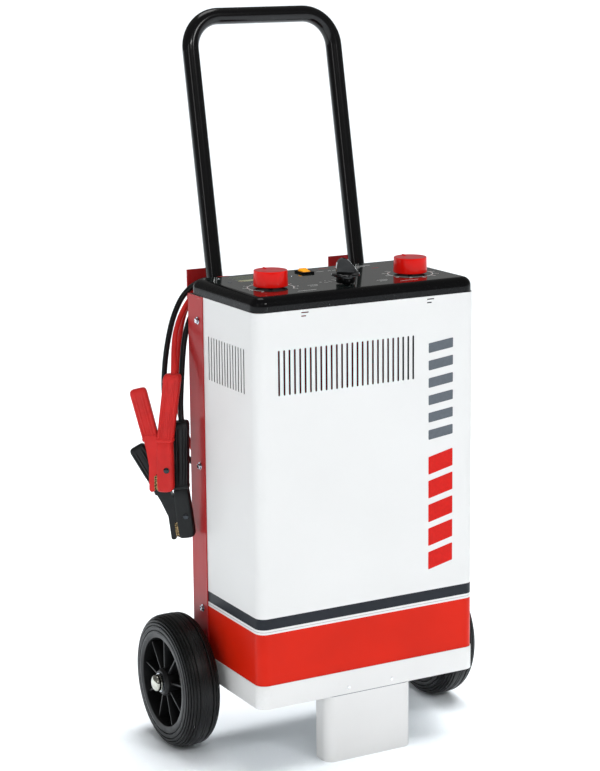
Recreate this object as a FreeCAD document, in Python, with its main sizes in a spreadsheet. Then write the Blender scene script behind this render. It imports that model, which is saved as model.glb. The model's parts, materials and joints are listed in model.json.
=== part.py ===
"""Wheeled car battery charger: steel cabinet, tube handle, two wheels, two hung leads with clamps."""
import FreeCAD
import Part
import math
import os
import re
import Sketcher
from FreeCAD import Placement, Rotation, Vector

# Driving dimensions: millimetres, degrees and counts. X is across, centred on the cabinet.
# Y is written from the cabinet's front face towards the back; front_y moves it to the frame's origin.
# Z is height above the ground.
SIZES = {
    "front_y": -167.315,
    "case_width": 365, "case_depth": 209.3, "case_corner": 15, "case_gauge": 1.5,
    "case_bottom": 119.7, "case_top": 682,
    "vent_width": 3, "vent_pitch": 8.5, "vent_low": 562, "vent_high": 627,
    "front_vent_last": 74.6, "front_vent_count": 27, "side_vent_last": 148.2, "side_vent_count": 14,
    "slit_x": 104, "slit_z": 677, "slit_length": 12, "slit_height": 1.6, "slit_drop": 5,
    "tray_width": 367.4, "tray_front": -1.2, "tray_depth": 212.7, "tray_corner": 16.2,
    "tray_bottom": 102.6, "tray_top": 137.7, "tray_gauge": 1, "floor_low": 118, "floor_gauge": 1.5,
    "leg_width": 146, "leg_depth": 33, "leg_corner": 14, "leg_gauge": 2, "leg_top": 117.9,
    "rivet_x": 36.7, "rivet_z": 112, "rivet_radius": 3,
    "frame_width": 368.6, "frame_front": 164, "frame_back": 211.5, "frame_gauge": 1.5,
    "frame_bottom": 138.5, "bolt_y": 179.5, "bolt_low": 207.6, "bolt_mid": 426.8, "bolt_high": 645.6,
    "cap_width": 364, "cap_front": 0.5, "cap_depth": 210.5, "cap_corner": 18, "cap_edge": 13,
    "cap_bottom": 682.3, "cap_top": 703.5, "cap_wall": 4, "recess_depth": 2,
    "plate_width": 336, "plate_front": 14, "plate_depth": 186, "plate_corner": 6, "plate_gap": 0.2,
    "knob_x": 117, "knob_y": 77.5, "knob_radius": 25, "knob_low": 706, "knob_height": 23,
    "shaft_radius": 3, "shaft_low": 684, "shaft_fit": 0.05, "bush_radius": 4.7, "bush_hole": 5,
    "selector_x": -8, "selector_y": 52, "switch_side": 42, "switch_low": 668, "switch_high": 697,
    "rocker_x": -12, "rocker_y": 168, "rocker_z": 704.2, "rocker_reach": 9.2, "rocker_width": 12,
    "meter_x": -96.5, "meter_y": 164.5, "meter_width": 70, "meter_depth": 45,
    "meter_low": 664, "meter_high": 701.2, "dial_z": 696, "dial_gauge": 1.2, "needle_y": 150,
    "tube_radius": 12.5, "tube_wall": 2, "handle_half": 122.7, "handle_lean": 11.443,
    "handle_corner": 50, "handle_bend": 120, "handle_foot": 400, "handle_top": 1078, "upright_y": 224.2,
    "lean_from_z": 589.1,
    "hook_half": 25, "hook_gauge": 3, "hook_shelf": 662, "hook_top": 703, "hook_plate_y": 288,
    "hook_flange": 632, "hook_bolt_x": 18, "hook_bolt_z": 645,
    "wheel_radius": 100, "wheel_x": 224, "wheel_y": 188.5, "wheel_half": 27.5, "rim_lip": 77.5,
    "rim_seat": 70, "rim_wall": 5, "boss_radius": 22, "boss_half": 28.5, "web_half": 3,
    "spoke_count": 9, "spoke_width": 5, "spoke_half": 23, "bush_outer": 11, "spacer_x": 156,
    "axle_radius": 8, "axle_half": 261, "washer_radius": 14, "washer_gauge": 1.9, "washer_gap": 0.3,
    "hub_cap_radius": 13, "hub_cap_skirt": 254.9, "hub_cap_face": 266,
    "frame_head": 4.2, "frame_shank": 2.4, "frame_hole": 2.5, "frame_washer": 5.5,
    "foot_head": 6.5, "foot_shank": 4, "foot_hole": 4.1, "foot_low": 30, "foot_high": 150,
    "hook_head": 4.5, "hook_shank": 2.5, "hook_hole": 2.6,
    "gland_hole": 7, "gland_thread": 6.9, "gland_nut": 10, "gland_collar": 11, "gland_depth": 7,
    "core_width": 150, "core_depth": 80, "core_height": 125, "core_low": 150, "core_y": 85,
    "lead_radius": 4.25, "clamp_thick": 18, "jaw_thick": 12.6, "pivot_radius": 3,
}

doc = FreeCAD.newDocument("battery_charger")
sheet = doc.addObject("Spreadsheet::Sheet", "Dims")
for row, (alias, number) in enumerate(SIZES.items(), start=1):
    sheet.set("A%d" % row, alias)
    sheet.set("B%d" % row, str(number))
    sheet.setAlias("B%d" % row, alias)
doc.recompute()

SUBPARTS = []
X_AXIS = Rotation(Vector(0, 1, 0), 90)
Y_AXIS = Rotation(Vector(1, 0, 0), -90)
UPRIGHT = Rotation(Vector(1, 0, 0), 90)
SIDES = (("left", -1), ("right", 1))


def size(alias):
    """One number from the sheet."""
    return float(sheet.get(alias))


def at(x, y, z):
    """A point given with Y from the cabinet's front face."""
    return Vector(x, size("front_y") + y, z)


def bound(formula):
    """A formula in which every alias is a reference to the sheet."""
    def reference(word):
        return "Dims." + word.group() if word.group() in SIZES else word.group()
    return re.sub(r"[A-Za-z_]+", reference, str(formula))


def bind(thing, **formulas):
    for key, formula in formulas.items():
        thing.setExpression(key, bound(formula))


def move(thing, place, turn=None):
    """Bind a thing's place; Y is given from the cabinet's front face."""
    if turn:
        thing.Placement = Placement(Vector(), turn)
    x, y, z = place
    thing.setExpression("Placement.Base.x", bound(x))
    thing.setExpression("Placement.Base.y", bound("front_y + (%s)" % y))
    thing.setExpression("Placement.Base.z", bound(z))


def subpart(thing, label):
    thing.Label = label
    SUBPARTS.append(thing)
    return thing


def block(sizes, corner):
    """A box from its three sizes and its lowest corner."""
    box = doc.addObject("Part::Box", "block")
    bind(box, Length=sizes[0], Width=sizes[1], Height=sizes[2])
    move(box, corner)
    return box


def round_bar(radius, length, start, turn=None):
    """A cylinder that grows from start along Z, or along the turned Z."""
    bar = doc.addObject("Part::Cylinder", "round_bar")
    bind(bar, Radius=radius, Height=length)
    move(bar, start, turn)
    return bar


def fused(things):
    joined = doc.addObject("Part::MultiFuse", "fused")
    joined.Shapes = things
    return joined


def cut(base, tools):
    """Base less every tool."""
    result = doc.addObject("Part::Cut", "cut")
    result.Base = base
    result.Tool = tools[0] if len(tools) == 1 else fused(tools)
    return result


def group(things):
    """Separate solids that share one node."""
    together = doc.addObject("Part::Compound", "group")
    together.Links = things
    return together


def freeform(shape, label):
    thing = doc.addObject("Part::Feature", label)
    thing.Shape = shape
    return subpart(thing, label)


def origin_plane(body, role):
    return next(item for item in body.Origin.OriginFeatures if item.Role == role)


def rounded_sketch(body, width, depth, corner, role="XY_Plane"):
    """A centred rectangle with round corners, its three sizes bound to the sheet."""
    sketch = body.newObject("Sketcher::SketchObject", "outline")
    sketch.AttachmentSupport = [(origin_plane(body, role), "")]
    sketch.MapMode = "FlatFace"
    half_w, half_d, r = 20.0, 15.0, 3.0
    corners = [(half_w, -half_d), (half_w, half_d), (-half_w, half_d), (-half_w, -half_d)]
    inner = [(x - math.copysign(r, x), y - math.copysign(r, y)) for x, y in corners]
    ends = [((-half_w + r, -half_d), (half_w - r, -half_d)), ((half_w, -half_d + r), (half_w, half_d - r)),
            ((half_w - r, half_d), (-half_w + r, half_d)), ((-half_w, half_d - r), (-half_w, -half_d + r))]
    for start, end in ends:
        sketch.addGeometry(Part.LineSegment(Vector(*start, 0), Vector(*end, 0)), False)
    for index, (x, y) in enumerate(inner):
        first = math.radians(90 * index - 90)
        circle = Part.Circle(Vector(x, y, 0), Vector(0, 0, 1), r)
        sketch.addGeometry(Part.ArcOfCircle(circle, first, first + math.pi / 2), False)
    for index in range(4):
        sketch.addConstraint(Sketcher.Constraint("Tangent", index, 2, 4 + index, 1))
        sketch.addConstraint(Sketcher.Constraint("Tangent", 4 + index, 2, (index + 1) % 4, 1))
    for line in (0, 2):
        sketch.addConstraint(Sketcher.Constraint("Horizontal", line))
    for line in (1, 3):
        sketch.addConstraint(Sketcher.Constraint("Vertical", line))
    for arc in (5, 6, 7):
        sketch.addConstraint(Sketcher.Constraint("Equal", 4, arc))
    dimensions = (("Radius", (4,), r, corner),
                  ("DistanceX", (-1, 1, 1, 1), half_w, "(%s) / 2" % width),
                  ("DistanceX", (3, 1, -1, 1), half_w, "(%s) / 2" % width),
                  ("DistanceY", (-1, 1, 2, 1), half_d, "(%s) / 2" % depth),
                  ("DistanceY", (0, 1, -1, 1), half_d, "(%s) / 2" % depth))
    for kind, places, start_value, formula in dimensions:
        number = sketch.addConstraint(Sketcher.Constraint(kind, *places, start_value))
        sketch.setExpression("Constraints[%d]" % number, bound(formula))
    return sketch


def rounded_block(width, depth, corner, height, place, turn=None):
    """A padded round-cornered rectangle; place is the middle of its lower face."""
    body = doc.addObject("PartDesign::Body", "rounded_block")
    sketch = rounded_sketch(body, width, depth, corner)
    pad = body.newObject("PartDesign::Pad", "height")
    pad.Profile = sketch
    bind(pad, Length=height)
    body.Tip = pad
    move(body, place, turn)
    return body


def front_rounded(width, depth, corner, height, front, low):
    """A block with two round upright corners at the front and square ones at the back."""
    whole = rounded_block(width, "2 * (%s)" % depth, corner, height,
                          ("0", "(%s) + (%s)" % (front, depth), low))
    back = block(("(%s) + 2" % width, "(%s) + 2" % depth, "(%s) + 2" % height),
                 ("-(%s) / 2 - 1" % width, "(%s) + (%s)" % (front, depth), "(%s) - 1" % low))
    return cut(whole, [back])


def slot_row(count, depth, place, turn):
    """A comb of round-ended bars that cuts one row of vents, back from the last one."""
    body = doc.addObject("PartDesign::Body", "slot_row")
    sketch = rounded_sketch(body, "vent_width", "vent_high - vent_low", "vent_width / 2 - 0.01")
    pad = body.newObject("PartDesign::Pad", "slot")
    pad.Profile = sketch
    bind(pad, Length=depth)
    doc.recompute()
    row = body.newObject("PartDesign::LinearPattern", "row")
    row.Originals = [pad]
    row.Direction = (sketch, ["H_Axis"])
    row.Reversed = True
    bind(row, Length="vent_pitch * (%s - 1)" % count, Occurrences=count)
    body.Tip = row
    move(body, place, turn)
    return body


def filleted(shape, radius, wanted):
    """The shape with a fillet on every edge that wanted() picks."""
    return shape.makeFillet(radius, [edge for edge in shape.Edges if wanted(edge)])


def prism(points, vector):
    """A closed outline of points, extruded."""
    return Part.Face(Part.makePolygon(points + points[:1])).extrude(vector)


def spun(profile, x_mid, y, z):
    """A closed outline of (along X, radius) points, turned about the X line through y, z."""
    centre = at(x_mid, y, z)
    points = [centre + Vector(along, 0, radius) for along, radius in profile]
    return Part.Face(Part.makePolygon(points + points[:1])).revolve(centre, Vector(1, 0, 0), 360)


# ---------------------------------------------------------------- cabinet
def make_casing():
    height = "case_top - case_bottom"
    shell = front_rounded("case_width", "case_depth", "case_corner", height, "0", "case_bottom")
    hollow = front_rounded("case_width - 2 * case_gauge", "case_depth + 5", "case_corner - case_gauge",
                           height + " + 2", "case_gauge", "case_bottom - 1")
    middle = "(vent_low + vent_high) / 2"
    front_vents = slot_row("front_vent_count", "20", ("front_vent_last", "10", middle), UPRIGHT)
    side_turn = Rotation(Vector(0, 0, 1), 90).multiply(UPRIGHT)
    side_vents = slot_row("side_vent_count", "case_width + 20",
                          ("-case_width / 2 - 10", "side_vent_last", middle), side_turn)
    slits = [block(("slit_length - %d" % (4 * line), "10", "slit_height"),
                   ("%d * slit_x - slit_length / 2" % sign, "-5", "slit_z - %d * slit_drop" % line))
             for sign in (-1, 1) for line in (0, 1)]
    holes = [round_bar("frame_hole", "case_width + 20", ("-case_width / 2 - 10", "bolt_y", level), X_AXIS)
             for level in ("bolt_low", "bolt_mid", "bolt_high")]
    subpart(cut(shell, [hollow, front_vents, side_vents] + slits + holes), "casing")


def make_base_tray():
    lip = front_rounded("tray_width", "tray_depth", "tray_corner", "tray_top - tray_bottom",
                        "tray_front", "tray_bottom")
    inside = ("tray_width - 2 * tray_gauge", "tray_depth - 2 * tray_gauge", "tray_corner - tray_gauge")
    above = front_rounded(*inside, "40", "tray_front + tray_gauge", "floor_low + floor_gauge")
    below = front_rounded(*inside, "20", "tray_front + tray_gauge", "floor_low - 20")
    axle_notch = round_bar("axle_radius + 4", "tray_width + 20",
                           ("-tray_width / 2 - 10", "wheel_y", "wheel_radius"), X_AXIS)
    rivets = [round_bar("rivet_radius", "10", ("%d * rivet_x" % sign, "-5", "rivet_z"), Y_AXIS)
              for sign in (-1, 1)]
    subpart(cut(lip, [above, below, axle_notch] + rivets), "base_tray")


def make_front_leg():
    outer = front_rounded("leg_width", "leg_depth", "leg_corner", "leg_top", "0", "0")
    inner = front_rounded("leg_width - 2 * leg_gauge", "leg_depth", "leg_corner - leg_gauge",
                          "leg_top - 2 * leg_gauge", "leg_gauge", "leg_gauge")
    rivets = [round_bar("rivet_radius", "10", ("%d * rivet_x" % sign, "-5", "rivet_z"), Y_AXIS)
              for sign in (-1, 1)]
    subpart(cut(outer, [inner] + rivets), "front_leg")
    bars = [round_bar("rivet_radius", "leg_gauge - tray_front + 0.4",
                      ("%d * rivet_x" % sign, "tray_front - 0.4", "rivet_z"), Y_AXIS) for sign in (-1, 1)]
    subpart(group(bars), "leg_rivets")


def make_rear_panel():
    height = "case_top - frame_bottom"
    depth = "frame_back - frame_front"
    outer = block(("frame_width", depth, height), ("-frame_width / 2", "frame_front", "frame_bottom"))
    inner = block(("frame_width - 2 * frame_gauge", depth, height + " + 2"),
                  ("frame_gauge - frame_width / 2", "frame_front - frame_gauge", "frame_bottom - 1"))
    side_holes = [round_bar("frame_hole", "frame_width + 20",
                            ("-frame_width / 2 - 10", "bolt_y", level), X_AXIS)
                  for level in ("bolt_low", "bolt_mid", "bolt_high")]
    back_holes = [round_bar("foot_hole", "20", ("%d * handle_half" % sign, "frame_back - 10", level), Y_AXIS)
                  for sign in (-1, 1) for level in ("handle_foot + foot_low", "handle_foot + foot_high")]
    hook_holes = [round_bar("hook_hole", "20", ("%d * handle_half + %d * hook_bolt_x" % (side, end),
                                              "frame_back - 10", "hook_bolt_z"), Y_AXIS)
                  for side in (-1, 1) for end in (-1, 1)]
    gland_holes = [round_bar("gland_hole", "20", (x, "frame_back - 10", z), Y_AXIS)
                   for x, z in GLANDS.values()]
    subpart(cut(outer, [inner] + side_holes + back_holes + hook_holes + gland_holes), "rear_panel")


def make_frame_bolts():
    bolts = []
    for sign in (-1, 1):
        turn = Rotation(Vector(0, 1, 0), -90 * sign)
        for level in ("bolt_low", "bolt_mid", "bolt_high"):
            face = "%d * (frame_width / 2 + " % sign
            washer = round_bar("frame_washer", "1", (face + "1)", "bolt_y", level), turn)
            head = round_bar("frame_head", "3", (face + "4)", "bolt_y", level), turn)
            shank = round_bar("frame_shank", "16", (face + "2)", "bolt_y", level), turn)
            bolts.append(fused([washer, head, shank]))
    subpart(group(bolts), "frame_bolts")


# ---------------------------------------------------------------- top
def make_top_cap():
    middle = "cap_front + cap_depth / 2"
    outer = rounded_block("cap_width", "cap_depth", "cap_corner", "cap_top - cap_bottom",
                          ("0", middle, "cap_bottom"))
    doc.recompute()
    top = size("cap_top")
    shape = filleted(outer.Shape, size("cap_edge"),
                     lambda edge: all(abs(v.Point.z - top) < 1e-6 for v in edge.Vertexes))
    soft = doc.addObject("Part::Feature", "soft_edge")
    soft.Shape = shape
    hollow = rounded_block("cap_width - 2 * cap_wall - 12", "cap_depth - 2 * cap_wall - 12", "cap_corner - 8",
                           "cap_top - cap_bottom - cap_wall + 5", ("0", middle, "cap_bottom - 5"))
    plate_y = "plate_front + plate_depth / 2"
    recess = rounded_block("plate_width", "plate_depth", "plate_corner", "10",
                           ("0", plate_y, "cap_top - recess_depth"))
    opening = rounded_block("plate_width - 14", "plate_depth - 14", "plate_corner", "40",
                            ("0", plate_y, "cap_bottom - 10"))
    subpart(cut(soft, [hollow, recess, opening]), "top_cap")


def make_control_panel():
    plate_y = "plate_front + plate_depth / 2"
    plate = rounded_block("plate_width - 2 * plate_gap", "plate_depth - 2 * plate_gap", "plate_corner",
                          "recess_depth", ("0", plate_y, "cap_top - recess_depth"))
    holes = [round_bar("bush_hole", "20", (x, y, "cap_top - 10"))
             for x, y in (("-knob_x", "knob_y"), ("knob_x", "knob_y"), ("selector_x", "selector_y"))]
    rocker = block(("17", "25", "20"), ("rocker_x - 8.5", "rocker_y - 12.5", "cap_top - 10"))
    meter = block(("meter_width", "meter_depth", "20"),
                  ("meter_x - meter_width / 2", "meter_y - meter_depth / 2", "cap_top - 10"))
    screws = [round_bar("1.6", "20", (x, y, "cap_top - 10")) for x, y in panel_screw_places()]
    subpart(cut(plate, holes + [rocker, meter] + screws), "control_panel")


def panel_screw_places():
    return [("meter_x + %d" % dx, "meter_y + %d" % dy) for dx in (-51, 51) for dy in (-18, 18)]


def make_panel_screws():
    screws = [fused([round_bar("2.6", "1.2", (x, y, "cap_top")),
                     round_bar("1.5", "8", (x, y, "cap_top - 7.5"))]) for x, y in panel_screw_places()]
    subpart(group(screws), "panel_screws")


def make_knob(side, sign):
    """A red knob with a pointer ridge, its shaft, and the rotary switch that it turns."""
    x = "%d * knob_x" % sign
    body = round_bar("knob_radius", "knob_height", (x, "knob_y", "knob_low"))
    doc.recompute()
    top = size("knob_low") + size("knob_height")
    soft = doc.addObject("Part::Feature", "soft_edge")
    soft.Shape = filleted(body.Shape, 2, lambda edge: abs(edge.BoundBox.ZMin - top) < 1e-6)
    ridge = block(("2.4", "knob_radius - 4", "1.2"),
                  (x + " - 1.2", "knob_y + 2", "knob_low + knob_height - 0.2"))
    hole = round_bar("shaft_radius", "20", (x, "knob_y", "knob_low - 8"))
    subpart(cut(fused([soft, ridge]), [hole]), side + "_knob")
    make_shaft_and_switch(side, x, "knob_y", "knob_low + 12")


def make_shaft_and_switch(name, x, y, shaft_top):
    """A turning shaft and the fixed switch that it turns in."""
    shaft = round_bar("shaft_radius", shaft_top + " - shaft_low", (x, y, "shaft_low"))
    subpart(shaft, name + "_shaft")
    case = block(("switch_side", "switch_side", "switch_high - switch_low"),
                 (x + " - switch_side / 2", y + " - switch_side / 2", "switch_low"))
    neck = round_bar("bush_radius", "cap_top + 1.2 - switch_high + 1", (x, y, "switch_high - 1"))
    bore = round_bar("shaft_radius + shaft_fit", "40", (x, y, "shaft_low"))
    subpart(cut(fused([case, neck]), [bore]), name + "_switch")


def make_selector():
    """The black centre selector: hub, skirt and a tall pointer fin."""
    x, y, low = size("selector_x"), size("selector_y"), size("cap_top") + 1.6
    hub = Part.makeCylinder(14, 10, at(x, y, low))
    skirt = filleted(Part.makeCylinder(21, 4.5, at(x, y, low + 9)), 1.5, lambda edge: edge.Closed)
    back, peak, front = at(x - 14, y, low + 12), at(x - 12, y, low + 30), at(x + 19, y, low + 12)
    crown = at(x - 4, y, low + 35.5)
    slope = at(x + 9, y, low + 27)
    outline = Part.Wire([Part.makeLine(front, back), Part.makeLine(back, peak),
                         Part.Arc(peak, at(x - 9.6, y, low + 34), crown).toShape(),
                         Part.Arc(crown, slope, front).toShape()])
    fin = Part.Face(outline).extrude(Vector(0, 9, 0))
    fin.translate(Vector(0, -4.5, 0))
    fin = filleted(fin, 1.6, lambda edge: edge.BoundBox.YLength < 1e-6 and edge.BoundBox.ZMin > low + 11.9
                   and edge.BoundBox.ZLength > 1)
    knob = hub.fuse([skirt, fin]).cut(Part.makeCylinder(size("shaft_radius"), 12, at(x, y, low - 1)))
    knob.rotate(at(x, y, 0), Vector(0, 0, 1), -22)
    freeform(knob, "selector_knob")
    make_shaft_and_switch("selector", "selector_x", "selector_y", "cap_top + 12")


def make_rocker_switch():
    """The orange rocker in its black bezel; it tilts about an X line through rocker_z."""
    reach, width = size("rocker_reach"), size("rocker_width")
    x, y, z = size("rocker_x"), size("rocker_y"), size("rocker_z")

    def on_arc(angle, radius=reach):
        turn = math.radians(angle)
        return at(x - width / 2, y + radius * math.cos(turn), z + radius * math.sin(turn))

    edges = [Part.Arc(on_arc(35), on_arc(5), on_arc(-25)).toShape(), Part.makeLine(on_arc(-25), on_arc(229)),
             Part.Arc(on_arc(229), on_arc(199), on_arc(169)).toShape(),
             Part.makeLine(on_arc(169), on_arc(102, 2.8)), Part.makeLine(on_arc(102, 2.8), on_arc(35))]
    button = Part.Face(Part.Wire(edges)).extrude(Vector(width, 0, 0))
    pin = Part.makeCylinder(1, width + 4, at(x - width / 2 - 2, y, z), Vector(1, 0, 0))
    freeform(button.fuse(pin), "rocker_button")
    bezel = rounded_block("20", "28", "2", "2.6", ("rocker_x", "rocker_y", "cap_top"))
    shell = block(("16.8", "24.6", "24"), ("rocker_x - 8.4", "rocker_y - 12.3", "cap_top - 24"))
    pocket = block(("rocker_width + 0.4", "2 * rocker_reach + 0.5", "20"),
                   ("rocker_x - rocker_width / 2 - 0.2", "rocker_y - rocker_reach - 0.25", "rocker_z - 10"))
    pins = round_bar("1.05", "rocker_width + 4.4",
                     ("rocker_x - rocker_width / 2 - 2.2", "rocker_y", "rocker_z"), X_AXIS)
    subpart(cut(fused([bezel, shell]), [pocket, pins]), "rocker_bezel")


def make_meter():
    """The charging ammeter: an open box under the panel, its dial, needle and window."""
    corner = ("meter_x - meter_width / 2", "meter_y - meter_depth / 2")
    outer = block(("meter_width + 10", "meter_depth + 10", "meter_high - meter_low"),
                  (corner[0] + " - 5", corner[1] + " - 5", "meter_low"))
    inner = block(("meter_width + 4", "meter_depth + 4", "60"),
                  (corner[0] + " - 2", corner[1] + " - 2", "meter_low + 2"))
    subpart(cut(outer, [inner]), "meter_housing")
    plate = block(("meter_width + 3", "meter_depth + 3", "dial_gauge"),
                  (corner[0] + " - 1.5", corner[1] + " - 1.5", "dial_z"))
    post = round_bar("0.8", "4.8", ("meter_x", "needle_y", "dial_z"))
    stem = round_bar("8", "dial_z - meter_low - 1.5", ("meter_x", "meter_y", "meter_low + 2"))
    subpart(fused([plate, post, stem]), "meter_dial")
    glass = block(("meter_width - 0.3", "meter_depth - 0.3", "2"),
                  (corner[0] + " + 0.15", corner[1] + " + 0.15", "cap_top - 2"))
    subpart(glass, "meter_glass")
    hub = Part.makeCylinder(3, 2.4, at(size("meter_x"), size("needle_y"), size("dial_z") + 2.2))
    start = at(size("meter_x"), size("needle_y"), size("dial_z") + 2.8)
    pointer = prism([start + Vector(-1.2, 0, 0), start + Vector(1.2, 0, 0), start + Vector(0, 31, 0)],
                    Vector(0, 0, 0.8))
    needle = hub.fuse(pointer).cut(Part.makeCylinder(0.85, 10, start + Vector(0, 0, -5)))
    needle.rotate(start, Vector(0, 0, 1), 48)
    freeform(needle, "meter_needle")


# ---------------------------------------------------------------- handle and hooks
def lean_point(x, z):
    """A point on the leaning part of the handle's centre line."""
    rise = z - size("lean_from_z")
    return at(x, size("upright_y") + rise * math.tan(math.radians(size("handle_lean"))), z)


def rounded_run(points, radii):
    """Straight runs between points, joined by tangent arcs of the given radii."""
    edges = []
    last = points[0]
    for before, corner, after, radius in zip(points, points[1:], points[2:], radii):
        back = (before - corner).normalize()
        ahead = (after - corner).normalize()
        half = (math.pi - back.getAngle(ahead)) / 2
        reach = radius * math.tan(half)
        start, end = corner + back * reach, corner + ahead * reach
        to_centre = (back + ahead).normalize()
        middle = corner + to_centre * (radius / math.cos(half) - radius)
        if (start - last).Length > 1e-4:
            edges.append(Part.makeLine(last, start))
        edges.append(Part.Arc(start, middle, end).toShape())
        last = end
    edges.append(Part.makeLine(last, points[-1]))
    return Part.Wire(edges)


def swept(path, radius):
    start = path.Edges[0].Vertexes[0].Point
    direction = path.Edges[0].tangentAt(path.Edges[0].FirstParameter)
    ring = Part.Wire([Part.makeCircle(radius, start, direction)])
    return path.makePipeShell([ring], True, True)


def make_handle():
    half, top = size("handle_half"), size("handle_top")
    points = [at(-half, size("upright_y"), size("handle_foot")), lean_point(-half, size("lean_from_z")),
              lean_point(-half, top), lean_point(half, top), lean_point(half, size("lean_from_z")),
              at(half, size("upright_y"), size("handle_foot"))]
    bend, corner = size("handle_bend"), size("handle_corner")
    path = rounded_run(points, [bend, corner, corner, bend])
    tube = swept(path, size("tube_radius")).cut(swept(path, size("tube_radius") - size("tube_wall")))
    holes = [Part.makeCylinder(size("foot_hole"), 60, at(sign * half, 190, size("handle_foot") + size(level)),
                               Vector(0, 1, 0)) for sign in (-1, 1) for level in ("foot_low", "foot_high")]
    freeform(tube.cut(Part.makeCompound(holes)), "handle_tube")
    plugs = []
    for sign in (-1, 1):
        foot = ("%d * handle_half" % sign, "upright_y", "handle_foot")
        plugs.append(fused([round_bar("tube_radius - tube_wall", "14", foot),
                            round_bar("tube_radius", "2.5", (foot[0], foot[1], foot[2] + " - 2.5"))]))
    subpart(group(plugs), "tube_plugs")


def make_hook(side, sign):
    """A bent sheet hook: a flange on the rear panel, a shelf round the tube, an upturned end."""
    left = "%d * handle_half - hook_half" % sign
    flange = block(("2 * hook_half", "hook_gauge", "hook_shelf - hook_flange"),
                   (left, "frame_back", "hook_flange"))
    shelf = block(("2 * hook_half", "hook_plate_y + hook_gauge - frame_back", "hook_gauge"),
                  (left, "frame_back", "hook_shelf - hook_gauge"))
    end = block(("2 * hook_half", "hook_gauge", "hook_top - hook_shelf + hook_gauge"),
                (left, "hook_plate_y", "hook_shelf - hook_gauge"))
    start = lean_point(sign * size("handle_half"), size("hook_flange"))
    passage = doc.addObject("Part::Cylinder", "passage")
    bind(passage, Radius="tube_radius + 0.9", Height="90")
    passage.Placement = Placement(start, Rotation(Vector(1, 0, 0), -size("handle_lean")))
    bolts = [round_bar("hook_hole", "20", (left + " + hook_half + %d * hook_bolt_x" % way,
                                           "frame_back - 10", "hook_bolt_z"), Y_AXIS) for way in (-1, 1)]
    subpart(cut(fused([flange, shelf, end]), [passage] + bolts), side + "_cable_hook")


def make_rear_bolts():
    """The bolts through the handle's feet and those of the cable hooks."""
    bolts = []
    for sign in (-1, 1):
        for level in ("handle_foot + foot_low", "handle_foot + foot_high"):
            x = "%d * handle_half" % sign
            head = round_bar("foot_head", "5", (x, "upright_y + tube_radius", level), Y_AXIS)
            shank = round_bar("foot_shank", "48", (x, "upright_y + tube_radius - 46", level), Y_AXIS)
            nut = round_bar("foot_head", "6", (x, "frame_back - frame_gauge - 6", level), Y_AXIS)
            bolts.append(fused([head, shank, nut]))
        for way in (-1, 1):
            x = "%d * handle_half + %d * hook_bolt_x" % (sign, way)
            head = round_bar("hook_head", "3", (x, "frame_back + hook_gauge", "hook_bolt_z"), Y_AXIS)
            shank = round_bar("hook_shank", "14", (x, "frame_back + hook_gauge - 13", "hook_bolt_z"), Y_AXIS)
            bolts.append(fused([head, shank]))
    subpart(group(bolts), "rear_bolts")


# ---------------------------------------------------------------- running gear
def make_wheel(side, sign):
    x, y, z = sign * size("wheel_x"), size("wheel_y"), size("wheel_radius")
    half, outer, lip = size("wheel_half"), size("wheel_radius"), size("rim_lip")
    seat, wall, boss_half = size("rim_seat"), size("rim_wall"), size("boss_half")
    shoulder = [(half - 3, seat + 0.2), (half - 3, lip + 0.4), (half, lip + 0.4), (half, outer - 14),
                (half - 2.5, outer - 7), (half - 7, outer - 2), (half - 13, outer)]
    freeform(spun(shoulder + [(-along, radius) for along, radius in reversed(shoulder)], x, y, z),
             side + "_tyre")
    lipped = [(-half, lip), (-half + 2.8, lip), (-half + 2.8, seat), (half - 2.8, seat), (half - 2.8, lip),
              (half, lip), (half, seat - wall), (-half, seat - wall)]
    hub, web = size("boss_radius"), size("web_half")
    boss = [(-boss_half, size("bush_outer")), (-boss_half, hub), (boss_half, hub),
            (boss_half, size("bush_outer"))]
    disc = [(-web, hub - 2), (-web, seat - wall + 1), (web, seat - wall + 1), (web, hub - 2)]
    ribs = []
    for index in range(int(size("spoke_count"))):
        deep, width, reach = size("spoke_half"), size("spoke_width"), seat - wall + 1 - hub + 2
        rib = Part.makeBox(2 * deep, width, reach, at(x - deep, y - width / 2, z + hub - 2))
        rib.rotate(at(x, y, z), Vector(1, 0, 0), index * 360 / size("spoke_count"))
        ribs.append(rib)
    rim = spun(lipped, x, y, z).fuse([spun(boss, x, y, z), spun(disc, x, y, z)] + ribs)
    freeform(rim.removeSplitter(), side + "_rim")
    fit = size("axle_radius") + size("shaft_fit")
    bush = [(-boss_half, fit), (-boss_half, size("bush_outer")), (boss_half, size("bush_outer")),
            (boss_half, fit)]
    freeform(spun(bush, x, y, z), side + "_wheel_bush")


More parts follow.
